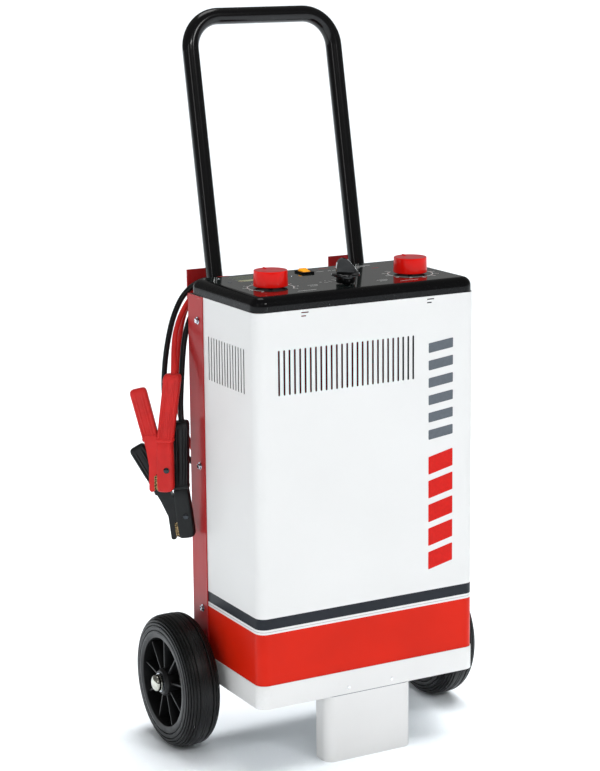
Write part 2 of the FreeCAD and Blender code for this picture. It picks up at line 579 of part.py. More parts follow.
def make_axle():
    axle = round_bar("axle_radius", "2 * axle_half", ("-axle_half", "wheel_y", "wheel_radius"), X_AXIS)
    subpart(axle, "axle")
    caps, spacers, washers = [], [], []
    axle_radius, half, edge = size("axle_radius"), size("axle_half"), size("hub_cap_radius")
    skirt, face = size("hub_cap_skirt"), size("hub_cap_face")
    # Dome over the axle's end: a short skirt, a shoulder and a crown.
    dome = [(skirt, axle_radius), (skirt, edge), (face - 5, edge), (face - 2, edge - 3.5),
            (face, edge - 8), (face, 0), (half, 0), (half, axle_radius)]
    gap, gauge = size("washer_gap"), size("washer_gauge")
    inner = size("wheel_x") - size("boss_half") - gap
    outer = size("wheel_x") + size("boss_half") + gap
    for sign in (-1, 1):
        turn = Rotation(Vector(0, 1, 0), 90 * sign)
        caps.append(spun([(sign * along, radius) for along, radius in dome], 0, size("wheel_y"),
                         size("wheel_radius")))
        for start, end in ((inner - gauge, inner), (outer, outer + gauge)):
            ring = [(start, axle_radius), (start, size("washer_radius")), (end, size("washer_radius")),
                    (end, axle_radius)]
            washers.append(spun([(sign * along, radius) for along, radius in ring], 0, size("wheel_y"),
                                size("wheel_radius")))
        tube = round_bar("bush_outer", "wheel_x - boss_half - washer_gap - washer_gauge - spacer_x",
                         ("%d * spacer_x" % sign, "wheel_y", "wheel_radius"), turn)
        bore = round_bar("axle_radius", "80", ("%d * (spacer_x - 6)" % sign, "wheel_y", "wheel_radius"), turn)
        spacers.append(cut(tube, [bore]))
    freeform(Part.makeCompound(caps), "hub_caps")
    freeform(Part.makeCompound(washers), "axle_washers")
    subpart(group(spacers), "axle_spacers")


def make_axle_brackets():
    brackets = []
    for sign in (-1, 1):
        lug = block(("6", "44", "floor_low - 86"), ("%d * 153 - 3" % sign, "wheel_y - 22", "86"))
        foot = block(("26", "44", "3"), ("%d * 143 - 13" % sign, "wheel_y - 22", "floor_low - 3"))
        bore = round_bar("axle_radius", "60", ("%d * 153 - 30" % sign, "wheel_y", "wheel_radius"), X_AXIS)
        brackets.append(cut(fused([lug, foot]), [bore]))
    subpart(group(brackets), "axle_brackets")


# ---------------------------------------------------------------- inside
def make_transformer():
    window_low = "core_low + 25"
    window_high = "core_height - 50"
    limb = 25
    front = "core_y - core_depth / 2"
    core = block(("core_width", "core_depth", "core_height"), ("-core_width / 2", front, "core_low"))
    windows = [block(("%d" % limb, "core_depth + 2", window_high), ("%d" % x, front + " - 1", window_low))
               for x in (-50, 25)]
    subpart(cut(core, windows), "transformer_core")
    for name, low in (("primary_coil", "core_low + 25.5"), ("secondary_coil", "core_low + 63")):
        ring = rounded_block("98", "core_depth + 46", "12", "36.5", ("0", "core_y", low))
        middle = block(("51", "core_depth + 1", "60"), ("-25.5", front + " - 0.5", low + " - 10"))
        subpart(cut(ring, [middle]), name)
    feet = [fused([block(("30", "core_depth + 60", "3"), (x, front + " - 30", "floor_low + floor_gauge")),
                   block(("30", "core_depth", "core_low - floor_low - floor_gauge"),
                         (x, front, "floor_low + floor_gauge"))])
            for x in ("-core_width / 2", "core_width / 2 - 30")]
    subpart(group(feet), "transformer_feet")


def make_rectifier():
    back = "frame_back - frame_gauge - 12"
    base = block(("150", "6", "110"), ("-75", back + " - 6", "330"))
    fins = [block(("150", "26", "2.5"), ("-75", back + " - 31.5", "%d" % (334 + 12 * index)))
            for index in range(9)]
    posts = [block(("14", "12.5", "14"), (x, back + " - 0.5", "378")) for x in ("-70", "56")]
    subpart(fused([base] + fins + posts), "heat_sink")
    diodes = [round_bar("8", "9", ("%d" % x, back, "%d" % z), Y_AXIS) for x in (-30, 30) for z in (352, 415)]
    subpart(group(diodes), "diodes")


def make_gland(name, x, z):
    """A cable gland through the rear panel: nut inside, body and dome outside."""
    thread = round_bar("gland_thread", "18", (x, "frame_back - 10", z), Y_AXIS)
    nut = round_bar("gland_nut", "4", (x, "frame_back - frame_gauge - 4", z), Y_AXIS)
    collar = round_bar("gland_collar", "gland_depth", (x, "frame_back", z), Y_AXIS)
    dome = doc.addObject("Part::Cone", "dome")
    bind(dome, Radius1="9.5", Radius2="6.5", Height="12")
    move(dome, (x, "frame_back + gland_depth", z), Y_AXIS)
    bore = round_bar("lead_radius", "60", (x, "frame_back - 30", z), Y_AXIS)
    subpart(cut(fused([thread, nut, collar, dome]), [bore]), name)


# ---------------------------------------------------------------- leads
GLANDS = {"red_gland": ("-20", "470"), "black_gland": ("22", "470"), "mains_gland": ("110", "190")}
# Routes: X across, Y from the cabinet's front face, Z. Gland, over the left hook behind the tube,
# a hanging turn, over the hook again in front of the tube, then down to the clamp.
ROUTES = {
    "black_lead": [(22, 214, 470), (22, 256, 471), (18, 279, 492), (6, 285, 524), (-8, 284, 562),
                   (-24, 280, 600), (-42, 276, 636), (-66, 272, 668), (-98, 270.5, 686), (-132, 269, 690),
                   (-163, 266.5, 674), (-183, 264, 642), (-195, 261, 604), (-202, 260, 564), (-204, 260, 522),
                   (-198, 259, 480), (-184, 258, 442), (-160, 258, 410), (-125, 257, 394), (-92, 253, 408),
                   (-76, 246, 444), (-69, 238, 486), (-66, 230, 530), (-65, 225, 574), (-66, 221.5, 615),
                   (-73, 220, 652), (-96, 219.7, 680), (-128, 219.6, 684), (-156, 220, 671),
                   (-176, 221, 646), (-187, 219.5, 615), (-195, 211, 585), (-201.5, 203, 553),
                   (-206.7, 197.9, 511), (-205, 196.6, 481)],
    "red_lead": [(-20, 216, 470), (-20, 254, 471), (-25, 272, 492), (-34, 274, 526), (-42, 272, 562),
                 (-50, 268, 600), (-64, 264, 638), (-88, 261.5, 669), (-119, 260, 680), (-149, 258, 673),
                 (-169, 255, 650), (-179, 252, 616), (-185, 250, 576), (-188, 249, 532), (-183, 248, 486),
                 (-170, 246, 444), (-146, 243, 410), (-112, 240, 386), (-76, 236, 386), (-52, 232, 412),
                 (-42, 229, 452), (-39, 226, 496), (-38, 223, 540), (-40, 221.5, 584), (-46, 220.5, 628),
                 (-61, 220, 668), (-90, 219.8, 693), (-127, 221, 698), (-159, 229, 684), (-181, 236, 653),
                 (-199, 224, 625), (-212, 203.5, 605), (-222.1, 183.8, 584), (-223.3, 184.7, 555.5)],
}


def lead_wire(points):
    """The lead's centre line: each arc is 0.45 of its shorter run over the tangent of half the turn."""
    radii = []
    for before, corner, after in zip(points, points[1:], points[2:]):
        shorter = min((corner - before).Length, (after - corner).Length)
        turn = (corner - before).getAngle(after - corner)
        radii.append(0.45 * shorter / math.tan(turn / 2))
    return rounded_run(points, radii), radii


def make_lead(name):
    path, radii = lead_wire([at(*point) for point in ROUTES[name]])
    tube = swept(path, size("lead_radius"))
    section = math.pi * size("lead_radius") ** 2
    print("%s: length %.0f, radii %s" % (name, path.Length, " ".join("%.0f" % r for r in radii)))
    print("%s: volume over section x length = %.4f" % (name, tube.Volume / (section * path.Length)))
    freeform(tube, name)


# ---------------------------------------------------------------- clamps
# Each clamp is drawn in its own frame: X across the V, Z up the handles, Y through the pivot.
CLAMPS = {
    "red": {"pivot": (-232, 191.5, 425.5), "heading": -38, "tilt": 0, "splay": 0},
    "black": {"pivot": (-201, 193.7, 350.7), "heading": -36, "tilt": -7, "splay": 9},
}
FIXED_SIDE = [(-16.5, -34), (6, -34), (9.5, -30.5), (9.5, 44), (11.5, 60), (25, 144), (-4, 144),
              (-16, 60), (-16.5, 44)]
CHANNEL = [(-50, -31), (5, -31), (7.3, -28), (7.3, 44), (9, 60), (20.5, 131), (-50, 131)]
LEVER_NOSE = [(-27, -12), (-27, -34), (-19.2, -34), (-19.2, -7), (-4, -6), (5, -6), (5, 6), (-4, 8)]
LEVER_GRIP = [(-11, 36), (-14, 62), (-29, 124), (-57, 118), (-41.5, 62), (-31, 31), (-26.5, 6)]
TEETH = 7
TOOTH = 3.2


def clamp_place(name):
    spec = CLAMPS[name]
    heading = Rotation(Vector(0, 0, 1), spec["heading"])
    tilt = Rotation(Vector(0, 1, 0), spec["tilt"])
    return Placement(at(*spec["pivot"]), heading.multiply(tilt))


def lever_outline(splay):
    """The lever's outline, its grip turned outward about the pivot by splay degrees."""
    turn = Rotation(Vector(0, 1, 0), -splay)
    grip = [turn.multVec(Vector(x, 0, z)) for x, z in LEVER_GRIP]
    return LEVER_NOSE + [(point.x, point.z) for point in grip]


def slab(outline, thickness, soft):
    """An outline in XZ, extruded evenly each way along Y, with soft long edges."""
    points = [Vector(x, -thickness / 2, z) for x, z in outline]
    shape = prism(points, Vector(0, thickness, 0))
    flat = [edge for edge in shape.Edges if edge.BoundBox.YLength < 1e-6]
    return shape.makeFillet(soft, flat)


def toothed_strip(back, root, tip, half_width):
    """A copper jaw: a strip from back to root, its teeth reaching to tip."""
    low = -30.9
    outline = [(back, low), (root, low)]
    for tooth in range(TEETH):
        outline += [(tip, low + TOOTH * (tooth + 0.5)), (root, low + TOOTH * (tooth + 1))]
    outline.append((back, low + TOOTH * TEETH))
    return prism([Vector(x, -half_width, z) for x, z in outline], Vector(0, 2 * half_width, 0))


def make_clamps():
    """Each clamp's fixed half is a channel on the lead; its lever nests in it on the pivot."""
    thick, jaw, pin = size("clamp_thick"), size("jaw_thick"), size("pivot_radius")
    across = Vector(0, 1, 0)
    room = jaw / 2 + 0.4
    pivots, springs, fixed_jaws = [], [], []
    for name in CLAMPS:
        place = clamp_place(name)
        entry, end = [place.inverse().multVec(at(*point)) for point in ROUTES[name + "_lead"][-2:]]
        bore = Part.makeCylinder(size("lead_radius"), (entry - end).Length, end, entry - end)
        channel = prism([Vector(x, -room, z) for x, z in CHANNEL], Vector(0, 2 * room, 0))
        hole = Part.makeCylinder(pin, thick + 4, Vector(0, -thick / 2 - 2, 0), across)
        body = freeform(slab(FIXED_SIDE, thick, 3.5).cut(channel).cut(bore).cut(hole), name + "_clamp_body")
        running = Part.makeCylinder(pin + size("shaft_fit"), 40, Vector(0, -20, 0), across)
        spring_room = Part.makeCylinder(9.5, 7, Vector(0, -3.5, 0), across)
        solid = slab(lever_outline(CLAMPS[name]["splay"]), jaw, 2.2)
        lever = freeform(solid.cut(running).cut(spring_room), name + "_clamp_lever")
        lever_jaw = freeform(toothed_strip(-19.2, -18.3, -17.3, jaw / 2 - 0.5), name + "_lever_jaw")
        for thing in (body, lever, lever_jaw):
            thing.Placement = place
        rivet = Part.makeCylinder(pin, thick + 1, Vector(0, -thick / 2 - 0.5, 0), across)
        heads = [Part.makeCylinder(4.5, 1.6, Vector(0, way * (thick / 2 + 0.8) - 0.8, 0), across)
                 for way in (-1, 1)]
        pivots.append(rivet.fuse(heads).transformed(place.toMatrix()))
        coils = [Part.makeTorus(5.2, 0.8, Vector(0, 1.7 * turn - 2.55, 0), across) for turn in range(4)]
        springs.append(Part.makeCompound(coils).transformed(place.toMatrix()))
        fixed_jaws.append(toothed_strip(-14.2, -15.8, -16.9, room).transformed(place.toMatrix()))
    freeform(Part.makeCompound(pivots), "clamp_pivots")
    freeform(Part.makeCompound(springs), "clamp_springs")
    freeform(Part.makeCompound(fixed_jaws), "fixed_jaws")


for maker in (make_casing, make_base_tray, make_front_leg, make_rear_panel, make_frame_bolts, make_top_cap,
              make_control_panel, make_panel_screws, make_selector, make_rocker_switch, make_meter,
              make_handle, make_rear_bolts, make_axle, make_axle_brackets, make_transformer, make_rectifier):
    maker()
for side, sign in SIDES:
    make_knob(side, sign)
    make_hook(side, sign)
    make_wheel(side, sign)
for gland, (gland_x, gland_z) in GLANDS.items():
    make_gland(gland, gland_x, gland_z)
for lead in ROUTES:
    make_lead(lead)
make_clamps()

doc.recompute()
for thing in doc.Objects:
    if "Invalid" in thing.State or "Error" in thing.State:
        raise RuntimeError("%s (%s) did not compute: %s" % (thing.Name, thing.Label, thing.State))
for thing in SUBPARTS:
    if thing.Shape.isNull() or not thing.Shape.isValid() or not thing.Shape.Solids:
        raise RuntimeError("%s has no valid shape" % thing.Label)
os.makedirs("parts", exist_ok=True)
for thing in SUBPARTS:
    thing.Shape.exportStep("parts/%s.step" % thing.Label)
print("wrote %d sub-parts" % len(SUBPARTS))
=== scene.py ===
"""Looks of a wheeled battery charger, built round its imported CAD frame. Lengths are in metres."""
import bmesh
import bpy
import json
import math
from mathutils import Matrix, Vector


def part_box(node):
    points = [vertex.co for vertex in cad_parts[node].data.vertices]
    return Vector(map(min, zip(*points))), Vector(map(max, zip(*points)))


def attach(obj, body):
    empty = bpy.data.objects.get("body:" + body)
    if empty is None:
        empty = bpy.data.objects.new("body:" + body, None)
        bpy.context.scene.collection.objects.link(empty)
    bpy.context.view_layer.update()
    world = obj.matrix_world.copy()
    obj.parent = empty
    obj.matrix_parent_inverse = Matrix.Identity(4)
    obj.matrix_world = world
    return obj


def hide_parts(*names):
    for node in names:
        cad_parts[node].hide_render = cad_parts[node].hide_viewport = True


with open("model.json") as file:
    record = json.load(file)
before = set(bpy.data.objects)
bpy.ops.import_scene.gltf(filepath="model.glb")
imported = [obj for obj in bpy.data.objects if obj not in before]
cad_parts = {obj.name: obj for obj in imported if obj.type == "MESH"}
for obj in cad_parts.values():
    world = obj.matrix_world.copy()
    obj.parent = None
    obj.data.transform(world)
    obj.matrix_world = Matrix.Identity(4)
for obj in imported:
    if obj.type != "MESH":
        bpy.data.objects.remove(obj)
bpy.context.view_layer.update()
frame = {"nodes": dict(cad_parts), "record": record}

MM = 0.001
FRONT_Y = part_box("casing")[0].y


def at(x, y, z):
    """A point from its X, its depth behind the cabinet's front face and its height."""
    return Vector((x, FRONT_Y + y, z))


def middle(node):
    low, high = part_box(node)
    return (low + high) / 2


def route_point(point):
    """A point of a lead's route, from millimetres."""
    return at(*(number / 1000 for number in point))


def polar(centre, radius, degrees):
    """X and Y at a distance and an angle from a centre."""
    turn = math.radians(degrees)
    return centre.x + radius * math.cos(turn), centre.y + radius * math.sin(turn)


def add_object(name, data):
    thing = bpy.data.objects.new(name, data)
    bpy.context.scene.collection.objects.link(thing)
    return thing


# ---- camera
def make_camera():
    data = bpy.data.cameras.new("camera")
    data.sensor_width = 36
    data.lens = 99.4
    data.shift_x = -0.0224
    data.shift_y = -0.0533
    camera = add_object("camera", data)
    right = Vector((0.87268, -0.48824, -0.00756))
    up = Vector((0.10027, 0.16403, 0.98135))
    turn = Matrix((right, up, right.cross(up))).transposed()
    camera.matrix_world = Matrix.Translation((-1.5211, -2.7437, 1.2074)) @ turn.to_4x4()
    bpy.context.scene.camera = camera


make_camera()


# ---- materials
class Surface:
    """A Principled material with node helpers. Patterns follow object coordinates, in metres."""

    def __init__(self, name, roughness, metallic=0.0, coat=0.0, coat_roughness=0.08, specular=0.5):
        self.material = bpy.data.materials.new(name)
        self.material.use_nodes = True
        self.tree = self.material.node_tree
        self.shader = self.tree.nodes["Principled BSDF"]
        self.shader.inputs["Metallic"].default_value = metallic
        self.shader.inputs["Roughness"].default_value = roughness
        self.shader.inputs["Coat Weight"].default_value = coat
        self.shader.inputs["Coat Roughness"].default_value = coat_roughness
        self.shader.inputs["Specular IOR Level"].default_value = specular
        self.place = self.add("ShaderNodeTexCoord").outputs["Object"]

    def add(self, kind, **values):
        node = self.tree.nodes.new(kind)
        for key, value in values.items():
            setattr(node, key, value)
        return node

    def link(self, source, target):
        self.tree.links.new(source, target)

    def noise(self, scale, detail=3.0, stretch=(1, 1, 1)):
        mapping = self.add("ShaderNodeMapping")
        mapping.inputs["Scale"].default_value = stretch
        self.link(self.place, mapping.inputs["Vector"])
        noise = self.add("ShaderNodeTexNoise")
        noise.inputs["Scale"].default_value = scale
        noise.inputs["Detail"].default_value = detail
        self.link(mapping.outputs["Vector"], noise.inputs["Vector"])
        return noise.outputs["Fac"]

    def remap(self, source, low, high, start=0.3, end=0.7):
        ranged = self.add("ShaderNodeMapRange")
        for key, value in (("From Min", start), ("From Max", end), ("To Min", low), ("To Max", high)):
            ranged.inputs[key].default_value = value
        self.link(source, ranged.inputs["Value"])
        return ranged.outputs["Result"]

    def maths(self, operation, first, second):
        node = self.add("ShaderNodeMath", operation=operation)
        for socket, value in zip(node.inputs, (first, second)):
            if isinstance(value, (int, float)):
                socket.default_value = value
            else:
                self.link(value, socket)
        return node.outputs["Value"]

    def mix(self, factor, first, second):
        node = self.add("ShaderNodeMix", data_type="RGBA")
        for socket, value in ((node.inputs[0], factor), (node.inputs[6], first), (node.inputs[7], second)):
            if isinstance(value, (int, float)):
                socket.default_value = value
            elif isinstance(value, tuple):
                socket.default_value = (*value, 1)
            else:
                self.link(value, socket)
        return node.outputs[2]

    def tinted(self, colour, spread, scale):
        """Colour that drifts a little, lighter and darker, over the surface."""
        dark = tuple(channel * (1 - spread) for channel in colour)
        light = tuple(min(1, channel * (1 + spread)) for channel in colour)
        return self.mix(self.remap(self.noise(scale), 0, 1), dark, light)

    def worn_edges(self, colour, worn, amount):
        """The worn colour shows on convex edges, broken up by noise."""
        edge = self.add("ShaderNodeNewGeometry").outputs["Pointiness"]
        ridge = self.remap(edge, 0, 1, 0.53, 0.6)
        broken = self.remap(self.noise(260), 0, amount, 0.4, 0.65)
        return self.mix(self.maths("MULTIPLY", ridge, broken), colour, worn)

    def parts(self, source):
        """The X, Y and Z of a vector."""
        split = self.add("ShaderNodeSeparateXYZ")
        self.link(source, split.inputs["Vector"])
        return split.outputs

    def band(self, low, high):
        """A mask that is 1 between two heights."""
        height = self.parts(self.place)["Z"]
        above = self.maths("GREATER_THAN", height, low)
        return self.maths("MULTIPLY", above, self.maths("LESS_THAN", height, high))

    def colour(self, source):
        self.link(source, self.shader.inputs["Base Color"])

    def rough(self, source, low, high):
        self.link(self.remap(source, low, high), self.shader.inputs["Roughness"])

    def bump(self, source, strength, distance):
        bump = self.add("ShaderNodeBump")
        bump.inputs["Strength"].default_value = strength
        bump.inputs["Distance"].default_value = distance
        self.link(source, bump.inputs["Height"])
        self.link(bump.outputs["Normal"], self.shader.inputs["Normal"])


def enamel(name, colour, roughness=0.3, orange_peel=0.04, coat=0.05):
    """Powder coat: fine orange peel, faint cloudiness, slightly brighter edges."""
    surface = Surface(name, roughness, coat=coat, coat_roughness=0.1, specular=0.16)
    tint = surface.tinted(colour, 0.03, 9)
    lighter = tuple(min(1, channel * 1.25 + 0.03) for channel in colour)
    surface.colour(surface.worn_edges(tint, lighter, 0.35))
    surface.rough(surface.noise(40), roughness * 0.9, roughness * 1.15)
    surface.bump(surface.noise(700, 2), orange_peel, 0.0004)
    return surface.material


RED = (0.64, 0.015, 0.003)
# The frame's red: the same paint as the band, made darker as painted shade for its less lit faces.
SHADED_FRAME_RED = (0.4, 0.018, 0.019)
DARK = (0.02, 0.023, 0.029)
WHITE = (0.778, 0.772, 0.762)
PINSTRIPE_GREY = (0.3, 0.31, 0.33)
# Grey of the painted shadow line on the leg, under the tray's edge.
LEG_SHADOW_GREY = (0.2, 0.21, 0.23)
# Inside the casing: bare metal, coloured near black as painted shade.
BARE_AND_SHADED_INSIDE = (0.01, 0.011, 0.012)
# Heights of the painted bands.
RED_TOP = 0.2148
DARK_BAND = (0.2219, 0.2381)
PINSTRIPE = (0.2180, 0.2186)
# The casing's upright corner radius, and how thin its paint counts as.
CASE_CORNER = 0.015
SKIN = 0.0004


def leg_enamel():
    """The leg's white coat, with a painted shadow: a grey line just under the tray's lower edge."""
    surface = Surface("leg_enamel", 0.35, coat=0.02, coat_roughness=0.12, specular=0.1)
    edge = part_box("base_tray")[0].z
    # Painted shadow: a thin grey band where the tray's lower edge shades the leg.
    shadow_line = surface.band(edge - 0.0015, edge + 0.001)
    surface.colour(surface.mix(shadow_line, surface.tinted(WHITE, 0.02, 9), LEG_SHADOW_GREY))
    surface.bump(surface.noise(700, 2), 0.035, 0.0003)
    return surface.material


def knob_plastic():
    """Saturated red moulding; faces that look up are coloured paler pink, a painted reflection of the light
    above.
    """
    surface = Surface("knob_red", 0.3, coat=0.3, coat_roughness=0.04, specular=0.05)
    facing = surface.parts(surface.add("ShaderNodeNewGeometry").outputs["True Normal"])
    # Painted reflection: the upward-facing top gets a paler pink, chosen by its normal.
    top = surface.remap(facing["Z"], 0, 1, 0.85, 0.97)
    surface.colour(surface.mix(top, surface.tinted((1.0, 0.009, 0.005), 0.02, 14), (0.68, 0.075, 0.085)))
    surface.rough(surface.noise(60, 6), 0.28, 0.32)
    surface.bump(surface.noise(900, 2), 0.01, 0.0003)
    return surface.material


def banded_enamel():
    """The casing's white coat with its red and dark bands, by height; behind the skin near black: bare metal
    with painted shade, so the vents look dark.
    """
    surface = Surface("white_banded_enamel", 0.35, coat=0.02, coat_roughness=0.12, specular=0.1)
    place = surface.parts(surface.place)
    colour = surface.tinted(WHITE, 0.015, 7)
    colour = surface.mix(surface.band(*DARK_BAND), colour, surface.tinted(DARK, 0.08, 11))
    colour = surface.mix(surface.band(0, RED_TOP), colour, surface.tinted(RED, 0.05, 11))
    colour = surface.mix(surface.band(*PINSTRIPE), colour, PINSTRIPE_GREY)
    flat_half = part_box("casing")[1].x - CASE_CORNER
    across = surface.maths("SUBTRACT", surface.maths("ABSOLUTE", place["X"], 0), flat_half)
    ahead = surface.maths("SUBTRACT", FRONT_Y + CASE_CORNER, place["Y"])
    squares = [surface.maths("POWER", surface.maths("MAXIMUM", part, 0), 2) for part in (across, ahead)]
    reach = surface.maths("SQRT", surface.maths("ADD", *squares), 0)
    # Painted shade: everything inside the paint skin takes the near black colour.
    inside = surface.maths("LESS_THAN", reach, CASE_CORNER - SKIN)
    surface.colour(surface.mix(inside, colour, BARE_AND_SHADED_INSIDE))
    surface.rough(surface.noise(40), 0.325, 0.34)
    return surface.material


def moulded(name, colour, roughness, grain, coat=0.0, scale=900, wear=0.25, specular=0.3):
    """Moulded plastic: fine grain, flow clouds and handling marks in its gloss."""
    surface = Surface(name, roughness, coat=coat, coat_roughness=0.04, specular=specular)
    surface.colour(surface.tinted(colour, 0.06, 14))
    surface.rough(surface.noise(60, 6), roughness * (1 - wear), roughness * (1 + wear))
    surface.bump(surface.noise(scale, 2), grain, 0.0003)
    return surface.material


def lit_lens(name, colour):
    """Translucent switch lens with a weak lamp behind it."""
    surface = Surface(name, 0.2, coat=0.3, coat_roughness=0.05, specular=0.3)
    tint = surface.tinted(colour, 0.08, 120)
    surface.colour(tint)
    surface.link(tint, surface.shader.inputs["Emission Color"])
    surface.shader.inputs["Emission Strength"].default_value = 0.5
    surface.bump(surface.noise(900, 2), 0.03, 0.0003)
    return surface.material


def rubber(name, colour, roughness, bloom=(0.1, 0.1, 0.1)):
    """Vulcanised rubber: fine pores, pale bloom in patches."""
    surface = Surface(name, roughness, specular=0.22)
    patches = surface.remap(surface.noise(22, 6), 0, 0.35, 0.5, 0.8)
    surface.colour(surface.mix(patches, surface.tinted(colour, 0.12, 30), bloom))
    surface.rough(surface.noise(50, 5), roughness * 0.85, min(1, roughness * 1.2))
    surface.bump(surface.noise(1500, 3), 0.18, 0.0003)
    return surface.material


def metal(name, colour, roughness, scratch=(1, 1, 1), grain=0.1, stain=0.6, patches=(120, 0.6)):
    """Plated or drawn metal: stretched scratches, uneven gloss, darker stains."""
    surface = Surface(name, roughness, metallic=1.0)
    stained = tuple(channel * stain for channel in colour)
    spread = surface.remap(surface.noise(patches[0], 5), 0, patches[1], 0.45, 0.6)
    surface.colour(surface.mix(spread, colour, stained))
    surface.rough(surface.noise(300, 4, scratch), roughness * 0.6, roughness * 1.5)
    surface.bump(surface.noise(500, 4, scratch), grain, 0.0002)
    return surface.material


def layered(surface, direction, scale, distortion, dark, light, gloss, relief):
    """Layers seen end on: turns of enamelled wire, or steel sheets under varnish."""
    wave = surface.add("ShaderNodeTexWave", bands_direction=direction)
    wave.inputs["Scale"].default_value = scale
    wave.inputs["Distortion"].default_value = distortion
    surface.link(surface.place, wave.inputs["Vector"])
    surface.colour(surface.mix(wave.outputs["Fac"], dark, light))
    surface.rough(surface.noise(gloss[0]), *gloss[1:])
    surface.bump(wave.outputs["Fac"], *relief)
    return surface.material


def window_glass():
    """Clear acrylic with fine hairlines."""
    surface = Surface("window", 0.03, specular=0.6)
    surface.shader.inputs["Alpha"].default_value = 0.16
    surface.colour(surface.tinted((0.8, 0.9, 0.8), 0.02, 30))
    surface.rough(surface.noise(200, 6, (1, 8, 1)), 0.01, 0.05)
    return surface.material


def printed(name, colour):
    """Screen-printed ink, slightly uneven."""
    surface = Surface(name, 0.4, specular=0.12)
    surface.colour(surface.tinted(colour, 0.06, 220))
    surface.bump(surface.noise(2500), 0.1, 0.0001)
    return surface.material


def meter_paper():
    """Pale dial card, warmer to one side and yellowed a little."""
    surface = Surface("dial_face", 0.55)
    warm = surface.remap(surface.noise(26), 0, 1, 0.35, 0.65)
    surface.colour(surface.mix(warm, (0.86, 0.72, 0.36), (0.74, 0.8, 0.5)))
    surface.bump(surface.noise(1800), 0.1, 0.0001)
    return surface.material


def make_finishes():
    return {
        "banded": banded_enamel(),
        "white_enamel": enamel("white_enamel", WHITE),
        # The frame's red carries painted shade.
        "red_enamel": enamel("red_enamel", SHADED_FRAME_RED, 0.32, 0.06),
        "black_enamel": enamel("black_enamel", (0.002, 0.002, 0.0024), 0.2, 0.01, coat=0.35),
        "black_moulding": moulded("black_moulding", (0.003, 0.003, 0.0034), 0.28, 0.02, coat=0.3,
                                  specular=0.03),
        "selector_gloss": moulded("selector_gloss", (0.003, 0.0032, 0.0036), 0.12, 0.01, coat=0.3, wear=0.1),
        "panel_plastic": moulded("panel_plastic", (0.012, 0.018, 0.017), 0.1, 0.01, coat=0.6, scale=300),
        "leg_enamel": leg_enamel(),
        "rivet_steel": metal("rivet_steel", (0.8, 0.8, 0.8), 0.3),
        "knob_red": knob_plastic(),
        "rocker_orange": lit_lens("rocker_orange", (1.0, 0.37, 0.0)),
        "zinc_steel": metal("zinc_steel", (0.72, 0.76, 0.82), 0.16, stain=0.12, patches=(640, 0.9)),
        "nickel": metal("nickel", (0.55, 0.55, 0.49), 0.1, grain=0.04),
        "tyre_rubber": rubber("tyre_rubber", (0.005, 0.0052, 0.0054), 0.36, (0.008, 0.008, 0.008)),
        "rim_plastic": moulded("rim_plastic", (0.006, 0.006, 0.0064), 0.36, 0.06, specular=0.24),
        "bush_plastic": moulded("bush_plastic", (0.7, 0.7, 0.66), 0.4, 0.1),
        "switch_plastic": moulded("switch_plastic", (0.03, 0.03, 0.032), 0.5, 0.2),
        "dial_face": meter_paper(),
        "window": window_glass(),
        "needle_paint": printed("needle_paint", (0.25, 0.01, 0.01)),
        "core_steel": layered(Surface("core_steel", 0.45, metallic=0.7, coat=0.3), "Y", 320, 0.3,
                              (0.09, 0.08, 0.07), (0.3, 0.29, 0.28), (60, 0.35, 0.6), (0.5, 0.0005)),
        "copper_winding": layered(Surface("copper_winding", 0.3, metallic=0.8), "Z", 150, 0.6,
                                  (0.35, 0.11, 0.04), (0.86, 0.42, 0.2), (90, 0.22, 0.45), (0.8, 0.0012)),
        "heat_sink_aluminium": metal("heat_sink_aluminium", (0.75, 0.76, 0.78), 0.35, (1, 1, 12), 0.3),
        "diode_steel": metal("diode_steel", (0.6, 0.58, 0.5), 0.25),
        "gland_plastic": moulded("gland_plastic", (0.02, 0.02, 0.02), 0.45, 0.2),
        "red_rubber": rubber("red_rubber", (0.53, 0.014, 0.012), 0.42, (0.54, 0.035, 0.03)),
        "black_rubber": rubber("black_rubber", (0.006, 0.007, 0.0074), 0.34, (0.011, 0.0125, 0.013)),
        "pivot_steel": metal("pivot_steel", (0.045, 0.05, 0.055), 0.12),
        "jaw_copper": metal("jaw_copper", (0.32, 0.22, 0.1), 0.16, (1, 1, 6), 0.6, 0.02, (420, 1.0)),
        "white_ink": printed("white_ink", (0.85, 0.87, 0.87)),
        "red_ink": printed("red_ink", (0.62, 0.01, 0.006)),
        "grey_ink": printed("grey_ink", (0.12, 0.135, 0.155)),
        "black_ink": printed("black_ink", (0.012, 0.012, 0.012)),
        "green_ink": printed("green_ink", (0.12, 0.36, 0.1)),
    }


finish = make_finishes()


# ---- leads
LEAD_DIAMETER = 0.0085
